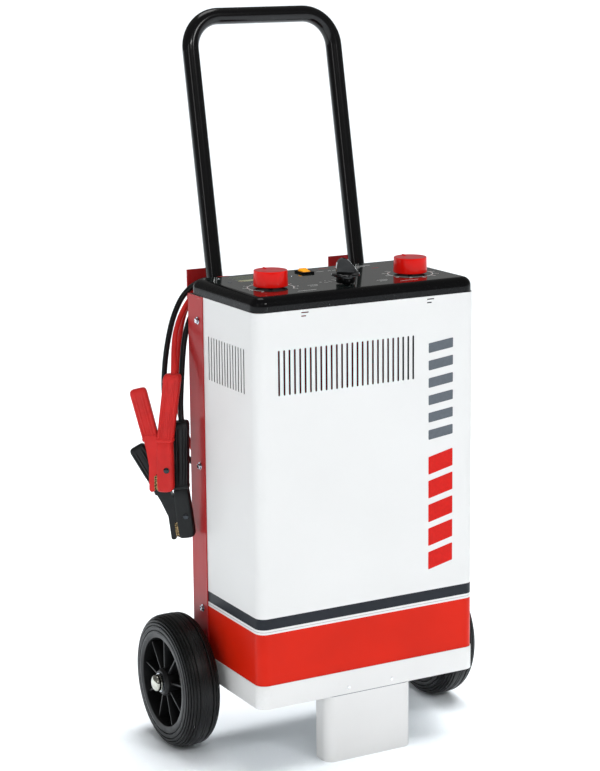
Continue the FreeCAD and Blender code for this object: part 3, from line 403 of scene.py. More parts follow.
# Length in metres, then the route in millimetres, Y from the cabinet's front.
LEADS = {
    "black_lead": (1.275, [
        (22, 214, 470), (22, 256, 471), (18, 279, 492), (6, 285, 524), (-8, 284, 562), (-24, 280, 600),
        (-42, 276, 636), (-66, 272, 668), (-98, 270.5, 686), (-132, 269, 690), (-163, 266.5, 674),
        (-183, 264, 642), (-195, 261, 604), (-202, 260, 564), (-204, 260, 522), (-198, 259, 480),
        (-184, 258, 442), (-160, 258, 410), (-125, 257, 394), (-92, 253, 408), (-76, 246, 444),
        (-69, 238, 486), (-66, 230, 530), (-65, 225, 574), (-66, 221.5, 615), (-73, 220, 652),
        (-96, 219.7, 680), (-128, 219.6, 684), (-156, 220, 671), (-176, 221, 646), (-187, 219.5, 615),
        (-195, 211, 585), (-201.5, 203, 553), (-206.7, 197.9, 511), (-205, 196.6, 481)]),
    "red_lead": (1.238, [
        (-20, 216, 470), (-20, 254, 471), (-25, 272, 492), (-34, 274, 526), (-42, 272, 562),
        (-50, 268, 600), (-64, 264, 638), (-88, 261.5, 669), (-119, 260, 680), (-149, 258, 673),
        (-169, 255, 650), (-179, 252, 616), (-185, 250, 576), (-188, 249, 532), (-183, 248, 486),
        (-170, 246, 444), (-146, 243, 410), (-112, 240, 386), (-76, 236, 386), (-52, 232, 412),
        (-42, 229, 452), (-39, 226, 496), (-38, 223, 540), (-40, 221.5, 584), (-46, 220.5, 628),
        (-61, 220, 668), (-90, 219.8, 693), (-127, 221, 698), (-159, 229, 684), (-181, 236, 653),
        (-199, 224, 625), (-212, 203.5, 605), (-222.1, 183.8, 584), (-223.3, 184.7, 555.5)]),
}


def make_lead(name, route):
    """A limp lead: one smooth NURBS curve whose control points are the route's."""
    curve = bpy.data.curves.new(name + "_cord", "CURVE")
    curve.dimensions = "3D"
    curve.bevel_depth = LEAD_DIAMETER / 2
    curve.bevel_resolution = 6
    curve.use_fill_caps = True
    curve.resolution_u = 10
    spline = curve.splines.new("NURBS")
    spline.points.add(len(route) - 1)
    for point, place in zip(spline.points, route):
        point.co = (*route_point(place), 1)
    spline.order_u = 3
    spline.use_endpoint_u = True
    curve.materials.append(finish[name.replace("lead", "rubber")])
    lead = add_object(name + "_cord", curve)
    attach(lead, "cabinet")
    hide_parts(name)
    return lead


lead_pieces = {name: make_lead(name, route) for name, (length, route) in LEADS.items()}


# ---- mesh tools
ARC_STEPS = 24
CAD_EDGE = 0.0003


def make_piece(name, bm, look, body, replaced=(), sharp=32):
    """Turn a bmesh into a smooth-shaded piece that rides on a body."""
    bmesh.ops.recalc_face_normals(bm, faces=bm.faces)
    for edge in bm.edges:
        edge.smooth = len(edge.link_faces) == 2 and edge.calc_face_angle() < math.radians(sharp)
    for face in bm.faces:
        face.smooth = True
    mesh = bpy.data.meshes.new(name)
    bm.to_mesh(mesh)
    bm.free()
    mesh.materials.append(finish[look])
    piece = add_object(name, mesh)
    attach(piece, body)
    if replaced:
        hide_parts(*replaced)
    return piece


def softened(points, radius, closed=True, steps=4):
    """The outline with its corners rounded off."""
    result = []
    for index, point in enumerate(points):
        corner = Vector(point)
        if not closed and index in (0, len(points) - 1):
            result.append(corner)
            continue
        back = Vector(points[index - 1]) - corner
        ahead = Vector(points[(index + 1) % len(points)]) - corner
        half = back.angle(ahead) / 2
        reach = min(radius / math.tan(half) if half < 1.5 else 0, 0.48 * back.length, 0.48 * ahead.length)
        start, end = corner + back.normalized() * reach, corner + ahead.normalized() * reach
        for step in range(steps + 1):
            t = step / steps
            result.append(start * (1 - t) ** 2 + corner * 2 * t * (1 - t) + end * t ** 2)
    return result


def lathe(bm, profile, origin, axis, count=96, closed=False):
    """Turn (along, radius) points about an axis through origin."""
    axis = Vector(axis).normalized()
    side = axis.orthogonal().normalized()
    other = axis.cross(side)
    rings = []
    for along, radius in profile:
        centre = Vector(origin) + axis * along
        if radius < 1e-7:
            rings.append([bm.verts.new(centre)])
            continue
        angles = [2 * math.pi * step / count for step in range(count)]
        rings.append([bm.verts.new(centre + (side * math.cos(a) + other * math.sin(a)) * radius)
                      for a in angles])
    pairs = list(zip(rings, rings[1:])) + ([(rings[-1], rings[0])] if closed else [])
    for low, high in pairs:
        for step in range(count):
            after = (step + 1) % count
            corners = [low[step % len(low)], low[after % len(low)],
                       high[after % len(high)], high[step % len(high)]]
            unique = list(dict.fromkeys(corners))
            if len(unique) > 2:
                bm.faces.new(unique)


def prism(bm, outline, low, high, place=None, bevel=0.0, segments=3):
    """Extrude an outline of (u, v) points from w = low to w = high; place maps u, v, w to the frame."""
    place = place or Matrix.Identity(4)
    bottom = [bm.verts.new((u, v, low)) for u, v in outline]
    top = [bm.verts.new((u, v, high)) for u, v in outline]
    faces = [bm.faces.new(bottom[::-1]), bm.faces.new(top)]
    caps = [edge for face in faces for edge in face.edges]
    for step in range(len(outline)):
        after = (step + 1) % len(outline)
        faces.append(bm.faces.new([bottom[step], bottom[after], top[after], top[step]]))
    verts = bottom + top
    if bevel:
        made = bmesh.ops.bevel(bm, geom=caps, offset=bevel, segments=segments, profile=0.5,
                               affect="EDGES", clamp_overlap=True)
        verts = list({vert for face in faces if face.is_valid for vert in face.verts} | set(made["verts"]))
    bmesh.ops.transform(bm, matrix=place, verts=verts)


def loft(bm, sections):
    """Skin closed sections of equal point counts, with both ends capped."""
    rings = [[bm.verts.new(point) for point in section] for section in sections]
    for low, high in zip(rings, rings[1:]):
        for step in range(len(low)):
            after = (step + 1) % len(low)
            bm.faces.new([low[step], low[after], high[after], high[step]])
    bm.faces.new(rings[0][::-1])
    bm.faces.new(rings[-1])


def axes_at(origin, u, v):
    """A matrix whose local X and Y run along u and v from origin."""
    u, v = Vector(u).normalized(), Vector(v).normalized()
    return Matrix.Translation(origin) @ Matrix((u, v, u.cross(v))).transposed().to_4x4()


def arc(radius, start, end):
    """Points on a circle, from one angle in degrees to another."""
    turns = [math.radians(start + (end - start) * step / ARC_STEPS) for step in range(ARC_STEPS + 1)]
    return [(radius * math.cos(t), radius * math.sin(t)) for t in turns]


def soften_cad(node):
    """Round a CAD node's sharp edges for the light, without changing its mesh."""
    cad = frame["nodes"][node]
    weld = cad.modifiers.new("weld", "WELD")
    weld.merge_threshold = 1e-6
    bevel = cad.modifiers.new("edges", "BEVEL")
    bevel.width = CAD_EDGE
    bevel.segments = 2
    bevel.limit_method = "ANGLE"
    bevel.angle_limit = math.radians(40)
    bevel.harden_normals = True


# ---- running gear
TYRE_BAND = (0.0075, 0.020)
TYRE_WALL = (0.0785, 0.0215)
SHOULDER_RIDGES = 6
RIDGE_PITCH = 14.0
GROOVE = 4.6
GROOVE_DEPTH = 0.0019
SPOKES = 9


def tyre_profile(half_width, bead):
    """Half of a ribbed shoulder, mirrored: concentric ridges on a squarish quarter arc."""
    def shoulder(angle, sink=0.0):
        turn = math.radians(angle)
        along = TYRE_BAND[0] + TYRE_BAND[1] * math.cos(turn) ** 0.8
        radius = TYRE_WALL[0] + TYRE_WALL[1] * math.sin(turn) ** 0.8
        return along - sink * math.cos(turn), radius - sink * math.sin(turn)

    half = [(half_width - 0.003, bead), (half_width - 0.003, TYRE_WALL[0] - 0.0006), shoulder(0)]
    crest = RIDGE_PITCH - GROOVE
    for ridge in range(SHOULDER_RIDGES):
        first = 2 + RIDGE_PITCH * ridge
        half += [shoulder(first, 0.0003)] + [shoulder(first + part * crest / 4) for part in (1, 2, 3)]
        half += [shoulder(first + crest, 0.0003)]
        half += [shoulder(first + RIDGE_PITCH - GROOVE * part, GROOVE_DEPTH) for part in (0.68, 0.36)]
    half += [shoulder(87.5, 0.0002), shoulder(90)]
    half += [(0.0032, 0.1), (0.0026, 0.0994), (0.0012, 0.0994), (0.0006, 0.1)]
    return half + [(-along, radius) for along, radius in reversed(half)]


def make_wheel(side, sign):
    """A solid rubber tyre on a ribbed plastic rim."""
    centre = middle(side + "_tyre")
    outward = (sign, 0, 0)
    low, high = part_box(side + "_tyre")
    half = (high.x - low.x) / 2
    bm = bmesh.new()
    lathe(bm, tyre_profile(half, 0.0702), centre, outward, 144, closed=True)
    make_piece(side + "_tyre_ribbed", bm, "tyre_rubber", side + "_wheel",
               [side + "_tyre"], sharp=26)

    bm = bmesh.new()
    face, lip, seat = half, 0.0775, 0.07
    hoop = [(face, lip), (face, 0.0735), (face - 0.0012, 0.0668), (0.004, 0.0652), (-0.004, 0.0652),
            (0.0012 - face, 0.0668), (-face, 0.0735), (-face, lip), (0.0028 - face, lip),
            (0.0028 - face, seat), (face - 0.0028, seat), (face - 0.0028, lip)]
    lathe(bm, softened(hoop, 0.0011, steps=3), centre, outward, 120, closed=True)
    end = half + 0.001
    boss = [(end, 0.0112), (end, 0.0175), (end - 0.004, 0.0208), (0.004, 0.022),
            (-0.004, 0.022), (0.004 - end, 0.0208), (-end, 0.0175), (-end, 0.0112)]
    lathe(bm, softened(boss, 0.0012, steps=3), centre, outward, 72, closed=True)
    web = [(0.0024, 0.0215), (0.0024, 0.0665), (-0.0024, 0.0665), (-0.0024, 0.0215)]
    lathe(bm, web, centre, outward, 96, closed=True)
    for index in range(SPOKES):
        turn = Matrix.Rotation(2 * math.pi * index / SPOKES, 4, "X")
        rib = [(-0.0014, -0.0222), (0.0014, -0.0222), (0.0024, 0), (0.0014, 0.0222), (-0.0014, 0.0222),
               (-0.0024, 0)]
        place = Matrix.Translation(centre) @ turn @ axes_at((0, 0, 0), (0, 1, 0), (1, 0, 0))
        prism(bm, softened(rib, 0.0008, steps=2), -0.0658, -0.0205, place)
    make_piece(side + "_rim_ribbed", bm, "rim_plastic", side + "_wheel", [side + "_rim"])


def make_hub_caps():
    """Pressed domes that cover the axle's ends."""
    bm = bmesh.new()
    low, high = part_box("hub_caps")
    centre = (low + high) / 2
    face, edge, rise = high.x, (high.z - low.z) / 2, 0.0065
    for sign in (-1, 1):
        dome = [(face - 0.0108, 0.0082), (face - 0.0108, edge), (face - 0.0098, edge),
                (face - 0.0094, edge - 0.0006)]
        dome += [(face - rise + rise * math.sin(t), (edge - 0.0006) * math.cos(t))
                 for t in (math.pi / 2 * step / 14 for step in range(14))]
        dome += [(face, 0), (face - 0.0012, 0), (face - 0.0108, 0.0082)]
        lathe(bm, dome, (0, centre.y, centre.z), (sign, 0, 0), 64)
    make_piece("hub_cap_domes", bm, "nickel", "cabinet", ["hub_caps"], sharp=50)


# ---- fasteners
# Distances along X, and of faces behind the cabinet's front.
HANDLE_X = 0.1227
HOOK_BOLT_X = 0.018
PANEL_FACE = 0.2115
HOOK_FACE = 0.2145
TUBE_BACK = 0.2367
# Heights of the rear panel's side screws and of the hooks' bolts; of the handle's bolts above its foot.
SCREW_LEVELS = (0.2076, 0.4268, 0.6456)
HOOK_BOLT_LEVEL = 0.645
HANDLE_BOLT_RISES = (0.03, 0.15)


def hexagon(radius):
    turns = [math.radians(60 * side) for side in range(6)]
    return [(radius * math.cos(turn), radius * math.sin(turn)) for turn in turns]


def add_bolt(bm, seat, outward, washer, flats, head, shank, length):
    """A washer, a chamfered hexagon head with a dimple, and a shank."""
    outward = Vector(outward).normalized()
    disc = [(0, shank), (0, washer * 0.96), (0.0003, washer), (0.0008, washer), (0.001, washer * 0.95),
            (0.001, shank)]
    lathe(bm, disc, seat, outward, 40)
    place = axes_at(Vector(seat) + outward * 0.001, outward.orthogonal(), outward.cross(outward.orthogonal()))
    prism(bm, hexagon(flats), 0, head, place, bevel=0.0004, segments=2)
    dish = [(0.001 + head - 0.0002, flats * 0.8), (0.001 + head + 0.0003, flats * 0.72),
            (0.001 + head + 0.00025, flats * 0.4), (0.001 + head - 0.0001, 0)]
    lathe(bm, dish, seat, outward, 30)
    lathe(bm, [(-length, 0), (-length, shank), (0.0005, shank)], seat, outward, 24)


def make_bolts():
    """The side screws of the rear panel, the handle's bolts and those of the hooks."""
    low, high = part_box("rear_panel")
    bm = bmesh.new()
    bolt_y = middle("frame_bolts").y
    for sign, face in ((-1, low.x), (1, high.x)):
        for level in SCREW_LEVELS:
            add_bolt(bm, (face, bolt_y, level), (sign, 0, 0), 0.0055, 0.0043, 0.0028, 0.0023, 0.014)
    make_piece("frame_bolts_hex", bm, "zinc_steel", "cabinet", ["frame_bolts"])

    bm = bmesh.new()
    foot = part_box("handle_tube")[0].z
    for sign in (-1, 1):
        for rise in HANDLE_BOLT_RISES:
            seat = at(sign * HANDLE_X, TUBE_BACK, foot + rise)
            add_bolt(bm, seat, (0, 1, 0), 0.0064, 0.0064, 0.0038, 0.0039, 0.046)
        for way in (-1, 1):
            seat = at(sign * HANDLE_X + way * HOOK_BOLT_X, HOOK_FACE, HOOK_BOLT_LEVEL)
            add_bolt(bm, seat, (0, 1, 0), 0.0045, 0.0042, 0.0018, 0.0024, 0.012)
    make_piece("rear_bolts_hex", bm, "zinc_steel", "cabinet", ["rear_bolts"])


PANEL_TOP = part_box("control_panel")[1].z
METER = middle("meter_glass")
ROCKER_Y = 0.168
NEEDLE_Y = 0.150
INK = 0.00008
PRINT_LIFT = 0.00006
SCALE_RADIUS = 0.0335
SCALE_LINE = 0.0013


def make_panel_screws():
    """Small domed screws with a cross recess."""
    bm = bmesh.new()
    for dx in (-0.051, 0.051):
        for dy in (-0.018, 0.018):
            seat = (METER.x + dx, METER.y + dy, PANEL_TOP)
            dome = [(-0.007, 0), (-0.007, 0.0014), (0, 0.0014), (0, 0.0026)]
            dome += [(0.0011 * math.sin(t), 0.0026 * math.cos(t)) for t in (0.3, 0.6, 0.9, 1.15)]
            dome += [(0.0011, 0.0007), (0.0005, 0.0004), (0.0005, 0)]
            lathe(bm, dome, seat, (0, 0, 1), 28)
    make_piece("panel_screws_domed", bm, "zinc_steel", "cabinet", ["panel_screws"])


def make_leg_rivets():
    """Low domed rivet heads on the tray's front."""
    bm = bmesh.new()
    low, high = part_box("leg_rivets")
    radius = (high.z - low.z) / 2
    for x in (low.x + radius, high.x - radius):
        head = [(0, 0)] + [(0.0004 - 0.0004 * math.cos(t), radius * math.sin(t))
                           for t in (0.4, 0.8, 1.2, 1.5708)]
        head += [(high.y - low.y, radius), (high.y - low.y, 0)]
        lathe(bm, head, (x, low.y, (low.z + high.z) / 2), (0, 1, 0), 28)
    make_piece("leg_rivets_domed", bm, "rivet_steel", "cabinet", ["leg_rivets"])


# ---- controls
def make_knob(side):
    """A drafted red knob with a dished top, a soft rim and a raised pointer at its rear."""
    low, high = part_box(side + "_knob")
    centre = (low + high) / 2
    radius = (high.x - low.x) / 2
    height = high.z - low.z - 0.001
    bm = bmesh.new()
    soft = [(0.02, 0.0031), (0.0012, 0.0031), (0.0012, radius - 0.0035), (0, radius - 0.003), (0, radius),
            (height - 0.0001, radius - 0.0007), (height - 0.0001, radius - 0.0024),
            (height - 0.0006, radius - 0.004)]
    profile = softened(soft, 0.0011, closed=False, steps=6) + [(height - 0.0006, 0.0)]
    lathe(bm, profile, (centre.x, centre.y, low.z), (0, 0, 1), 160)
    place = Matrix.Translation((centre.x, centre.y, low.z))
    ridge = [(-0.0013, radius - 0.011), (0.0013, radius - 0.011), (0.0013, radius - 0.0024),
             (-0.0013, radius - 0.0024)]
    prism(bm, softened(ridge, 0.0012), height - 0.0012, high.z - low.z, place, bevel=0.0005)
    make_piece(side + "_knob_turned", bm, "knob_red", side + "_dial", [side + "_knob"],
               sharp=40)


def make_selector():
    """A black selector: hub, round skirt and a tall rounded fin, with a painted highlight: a white strip
    along the fin's upper right rim.
    """
    low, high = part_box("selector_knob")
    axis = at(-0.008, 0.052, low.z)
    turned = Matrix.Translation(axis) @ Matrix.Rotation(math.radians(-22), 4, "Z")
    bm = bmesh.new()
    hub = [(0.0, 0.0031), (0.0, 0.0135), (0.0005, 0.014), (0.009, 0.0138), (0.0095, 0.0195)]
    skirt = [(0.0102, 0.0208), (0.0116, 0.021), (0.0128, 0.0204), (0.0135, 0.019), (0.0137, 0.0)]
    lathe(bm, [(0.01, 0.0031)] + hub + skirt, axis, (0, 0, 1), 96)
    rise = high.z - low.z
    crown = [(-0.014, 0.012), (-0.0135, 0.022), (-0.0125, 0.029), (-0.0095, rise - 0.0022), (-0.004, rise),
             (0.0025, rise - 0.0022), (0.009, rise - 0.0085), (0.0145, 0.0195), (0.019, 0.012)]
    fin_place = turned @ axes_at((0, 0, 0), (1, 0, 0), (0, 0, 1))
    half = 0.0045
    prism(bm, softened(crown, 0.006, steps=5), -half, half, fin_place, bevel=0.0026, segments=5)
    make_piece("selector_fin", bm, "selector_gloss", "selector", ["selector_knob"],
               sharp=50)
    bm = bmesh.new()
    # Painted highlight: white ink along the fin's upper right rim, where light catches it.
    line = [(0.0032, rise - 0.0019), (0.0026, rise - 0.0026), (0.0086, rise - 0.0094), (0.0142, 0.0196),
            (0.0166, 0.0162), (0.0172, 0.0165), (0.0148, 0.0200), (0.0092, rise - 0.0087)]
    prism(bm, line, -0.0006, 0.0006, fin_place)
    make_piece("selector_rim_highlight", bm, "white_ink", "selector")


def make_rocker():
    """The translucent orange rocker, dished on both sides of its peak."""
    axis = at(-0.012, ROCKER_Y, 0.7042)
    reach, half = 0.0092, 0.006
    bm = bmesh.new()

    def on(angle, radius=reach):
        return radius * math.cos(math.radians(angle)), radius * math.sin(math.radians(angle))

    outline = [on(35), on(15), on(-5), on(-25), on(229), on(209), on(189), on(169), on(150, 5.4 * MM),
               on(102, 2.8 * MM), on(60, 5.2 * MM)]
    place = axes_at(axis, (0, 1, 0), (0, 0, 1))
    prism(bm, softened(outline, 0.0006, steps=2), -half, half, place, bevel=0.0007)
    lathe(bm, [(-half - 0.002, 0), (-half - 0.002, 0.001), (half + 0.002, 0.001), (half + 0.002, 0)], axis,
          (1, 0, 0), 20)
    make_piece("rocker_button_dished", bm, "rocker_orange", "rocker", ["rocker_button"])


def ribbon(bm, centre, radius, width, start, end, top):
    """A flat printed arc."""
    outline = arc(radius + width / 2, start, end) + arc(radius - width / 2, end, start)
    prism(bm, outline, top - INK, top, Matrix.Translation((centre.x, centre.y, 0)))


def dash(bm, x, y, length, width, top, turn=0.0):
    """A flat printed bar about x, y."""
    place = Matrix.Translation((x, y, 0)) @ Matrix.Rotation(math.radians(turn), 4, "Z")
    u, v = length / 2, width / 2
    prism(bm, [(-u, -v), (u, -v), (u, v), (-u, v)], top - INK, top, place)


def numeral(bm, text, x, y, size, top):
    """A printed number, centred on x, y."""
    curve = bpy.data.curves.new("numeral", "FONT")
    curve.body = text
    curve.size = size
    curve.align_x = "CENTER"
    curve.align_y = "CENTER"
    curve.extrude = INK / 2
    curve.resolution_u = 3
    shape = bpy.data.objects.new("numeral", curve)
    mesh = bpy.data.meshes.new_from_object(shape)
    mesh.transform(Matrix.Translation((x, y, top - INK / 2)))
    bm.from_mesh(mesh)
    bpy.data.meshes.remove(mesh)
    bpy.data.objects.remove(shape)
    bpy.data.curves.remove(curve)


def dial_scale(bm, centre, start, end, top, labels):
    """An arc with ticks and numbers round a knob."""
    ribbon(bm, centre, SCALE_RADIUS, SCALE_LINE, start, end, top)
    for step, label in enumerate(labels):
        angle = start + (end - start) * step / (len(labels) - 1)
        dash(bm, *polar(centre, SCALE_RADIUS + 0.0022, angle), 0.0042, 0.001, top, angle)
        numeral(bm, label, *polar(centre, SCALE_RADIUS + 0.0066, angle), 0.0052, top)


def make_panel_print():
    """White scales round the controls, rules between them, and small red marks."""
    top = PANEL_TOP + PRINT_LIFT
    left, right = middle("left_shaft"), middle("right_shaft")
    selector = middle("selector_shaft")
    bm = bmesh.new()
    dial_scale(bm, left, 225, -45, top, [str(n) for n in range(10)])
    dial_scale(bm, right, 60, -240, top, [str(n) for n in range(0, 55, 5)])
    for index, angle in enumerate((135, 112.5, 90, 67.5, 45)):
        dash(bm, *polar(selector, 0.029, angle), 0.006, 0.0011, top, angle)
        numeral(bm, str(index), *polar(selector, 0.0375, angle), 0.0062, top)
    for x, length in ((0.012, 0.012), (0.028, 0.005), (0.038, 0.009)):
        dash(bm, x, at(0, ROCKER_Y, 0).y - 0.004, length, 0.0011, top)
    for line in range(3):
        dash(bm, 0.082 - 0.006 * line, at(0, 0.178 - 0.007 * line, 0).y, 0.05 - 0.014 * line, 0.0013, top)
    for x, y, length in ((-0.056, 0.064, 0.016), (-0.058, 0.056, 0.012), (0.052, 0.05, 0.018),
                         (0.05, 0.042, 0.012), (-0.085, 0.028, 0.03), (0.085, 0.028, 0.03)):
        dash(bm, x, at(0, y, 0).y, length, 0.0011, top)
    make_piece("panel_print_white", bm, "white_ink", "cabinet")
    bm = bmesh.new()
    for x, y, length in ((0.03, 0.186, 0.016), (0.052, 0.186, 0.008), (0.1, 0.151, 0.012)):
        dash(bm, x, at(0, y, 0).y, length, 0.0014, top)
    make_piece("panel_print_red", bm, "red_ink", "cabinet")


def make_meter_face():
    """The ammeter's printed arc, its coloured zones, ticks and numbers, and a bevelled needle."""
    post_rise = 0.0036
    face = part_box("meter_dial")[1].z - post_rise + PRINT_LIFT
    pivot = at(METER.x, NEEDLE_Y, face)
    bm = bmesh.new()
    ribbon(bm, pivot, 0.0285, 0.0005, 42, 138, face)
    for step in range(13):
        angle = 138 - 8 * step
        long = step % 3 == 0
        reach, length = (0.0307, 0.0042) if long else (0.0298, 0.0024)
        dash(bm, *polar(pivot, reach, angle), length, 0.00045, face, angle)
        if long:
            numeral(bm, str(step * 5 // 3 * 2), *polar(pivot, 0.0242, angle), 0.0046, face)
    make_piece("meter_print_black", bm, "black_ink", "cabinet")
    for name, first, last in (("green", 102, 137), ("red", 43, 66)):
        bm = bmesh.new()
        ribbon(bm, pivot, 0.0335, 0.0018, first, last, face)
        make_piece("meter_print_" + name, bm, name + "_ink", "cabinet")

    top = at(METER.x, NEEDLE_Y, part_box("meter_needle")[0].z)
    turned = Matrix.Translation(top) @ Matrix.Rotation(math.radians(48), 4, "Z")
    bm = bmesh.new()
    hub = [(0, 0.001), (0, 0.0028), (0.0016, 0.003), (0.0023, 0.0024), (0.0023, 0.001)]
    lathe(bm, hub, top, (0, 0, 1), 32)
    blade = [(-0.0008, 0.0015), (0.0008, 0.0015), (0.0005, 0.022), (0.00012, 0.0305), (-0.00012, 0.0305),
             (-0.0005, 0.022)]
    prism(bm, blade, 0.0007, 0.0013, turned)
    make_piece("meter_needle_fine", bm, "needle_paint", "needle", ["meter_needle"])


def make_front_marks():
    """A generic charge-level ladder down the front's right side: solid red below, grey above."""
    place = axes_at((0.122, FRONT_Y, 0), (1, 0, 0), (0, 0, 1))
    top = 0.00012
    half = 0.021
    for name, start, count, tall, gap in (("red", 0.27, 5, 0.0268, 0.0095),
                                          ("grey", 0.468, 6, 0.0145, 0.0115)):
        bm = bmesh.new()
        for step in range(count):
            bottom = start + step * (tall + gap)
            slant = tall * 0.35
            bar = [(-half, bottom), (half, bottom + slant), (half, bottom + slant + tall),
                   (-half, bottom + tall)]
            prism(bm, softened(bar, 0.0015), -0.00005, top, place)
        make_piece("front_marks_" + name, bm, name + "_ink", "cabinet")


# ---- glands
def make_gland(name):
    """A hexagon collar, a ribbed dome nut and a tapered sleeve where the lead leaves."""
    low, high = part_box(name)
    x, z = (low.x + high.x) / 2, (low.z + high.z) / 2
    origin = at(x, PANEL_FACE, z)
    bore = LEAD_DIAMETER / 2
    bm = bmesh.new()
    place = axes_at(origin, (1, 0, 0), (0, 0, -1))
    prism(bm, hexagon(0.0109), 0, 0.0052, place, bevel=0.0006)
    crown = [(0.0052, 0.0098), (0.007, 0.0098), (0.008, 0.0095), (0.012, 0.0088), (0.0165, 0.0074),
             (0.0185, 0.0064), (0.019, 0.0056), (0.019, bore), (0.004, bore)]
    lathe(bm, softened(crown, 0.0006, closed=False, steps=3), origin, (0, 1, 0), 48)
    for rib in range(18):
        turn = math.radians(20 * rib)
        ring = Matrix.Translation(origin) @ Matrix.Rotation(turn, 4, "Y")
        side = [(0.0086, 0.0075), (0.0101, 0.0075), (0.0097, 0.0115), (0.0088, 0.0135), (0.0078, 0.0135)]
        prism(bm, side, -0.0005, 0.0005, ring @ axes_at((0, 0, 0), (1, 0, 0), (0, 1, 0)))
    nut = [(-0.0015, bore + 0.001), (-0.0015, 0.01), (-0.0055, 0.01), (-0.0055, bore + 0.001)]
    lathe(bm, nut, origin, (0, 1, 0), 6, closed=True)
    lathe(bm, [(0.001, 0.0069), (-0.01, 0.0069), (-0.01, bore)], origin, (0, 1, 0), 36)
    make_piece(name + "_ribbed", bm, "gland_plastic", "cabinet", [name])


# ---- clamps
# Drawn as in the CAD: X across the V, Z up the handles, Y through the pivot; millimetres.
CLAMPS = {"red": ((-0.232, 0.1915, 0.4255), -38, 0, 0), "black": ((-0.201, 0.1937, 0.3507), -36, -7, 9)}
WALL_ROOM = 6.7
LEVER_HALF = 6.3
RING_POINTS = 112


def clamp_place(name):
    pivot, heading, tilt = CLAMPS[name][:3]
    turn = Matrix.Rotation(math.radians(heading), 4, "Z") @ Matrix.Rotation(math.radians(tilt), 4, "Y")
    return Matrix.Translation(at(*pivot)) @ turn @ Matrix.Scale(MM, 4)


def section(level, centre, half_x, half_y, ribs=0.0, square=4.5):
    """A rounded-square ring at one height; ribs are ridges on its two broad faces."""
    ring = []
    for step in range(RING_POINTS):
        turn = 2 * math.pi * step / RING_POINTS
        c, s = math.cos(turn), math.sin(turn)
        x = half_x * math.copysign(abs(c) ** (2 / square), c)
        y = half_y * math.copysign(abs(s) ** (2 / square), s)
        broad = max(0.0, 1 - (x / half_x) ** 6)
        y -= math.copysign(ribs * broad * (0.5 - 0.5 * math.cos(5 * math.pi * x / half_x)), s) if ribs else 0
        ring.append(Vector((centre + x, y, level)))
    return ring


def sleeve(first, last, x_first, x_last, half_x, half_y, ribs):
    """A ribbed grip sleeve: a rolled lip at its lower end, a round upper end."""
    length = last - first
    rows = [(0, 0.9, 0), (0.25, 0.97, 0), (0.9, 0.995, 0), (2.2, 1.0, 0), (4.2, 1.0, 0), (5.2, 0.955, 0.2),
            (7.5, 0.95, 1), (length / 2, 0.97, 1)]
    rows += [(length - 14, 0.98, 1), (length - 9.5, 0.985, 0.6), (length - 6, 0.97, 0.2),
             (length - 3.4, 0.92, 0), (length - 1.6, 0.84, 0), (length - 0.5, 0.73, 0), (length, 0.6, 0)]
    slope = (x_last - x_first) / length
    return [section(first + level, x_first + slope * level, half_x * size, half_y * size, ribs * ridge)
            for level, size, ridge in rows]


def boolean_cut(piece, tool_bm):
    """Cut a closed tool out of a piece's mesh for good."""
    mesh = bpy.data.meshes.new("tool")
    tool_bm.to_mesh(mesh)
    tool_bm.free()
    tool = add_object("tool", mesh)
    change = piece.modifiers.new("cut", "BOOLEAN")
    change.operation = "DIFFERENCE"
    change.solver = "EXACT"
    change.object = tool
    bpy.context.view_layer.update()
    graph = bpy.context.evaluated_depsgraph_get()
    result = bpy.data.meshes.new_from_object(piece.evaluated_get(graph))
    piece.modifiers.clear()
    piece.data = result
    bpy.data.objects.remove(tool)


FIXED_JAW = [(-34, -5.3, 6.6, 4.4), (-33.6, -4.9, 8.4, 6.0), (-32.6, -4.4, 10.2, 7.2), (-31, -4.0, 11.6, 8.1),
             (-28.6, -3.6, 12.6, 8.7), (-25, -3.5, 13, 9), (4, -3.5, 13, 9), (30, -3.5, 12.6, 8.8),
             (40.4, -3.4, 12.2, 8.4), (41.6, -3.4, 11.9, 8.0)]
JAW_SQUARENESS = 3.4
CHANNEL = [(-50, -31), (5, -31), (7.2, -28), (7.2, 44), (8.5, 60), (18.8, 131), (-50, 131)]
LEVER_NOSE = [(-27, -12), (-27, -34), (-19.2, -34), (-19.2, -7), (-4, -6), (5, -6), (5, 6), (-4, 8)]
LEVER_ARM = [(-11.5, 36), (-13.5, 52), (-36, 52), (-30.5, 31), (-26.5, 6)]
LEVER_GRIP_START = (-23.6, 0, 44)
LEVER_GRIP_LEAN = -14.2


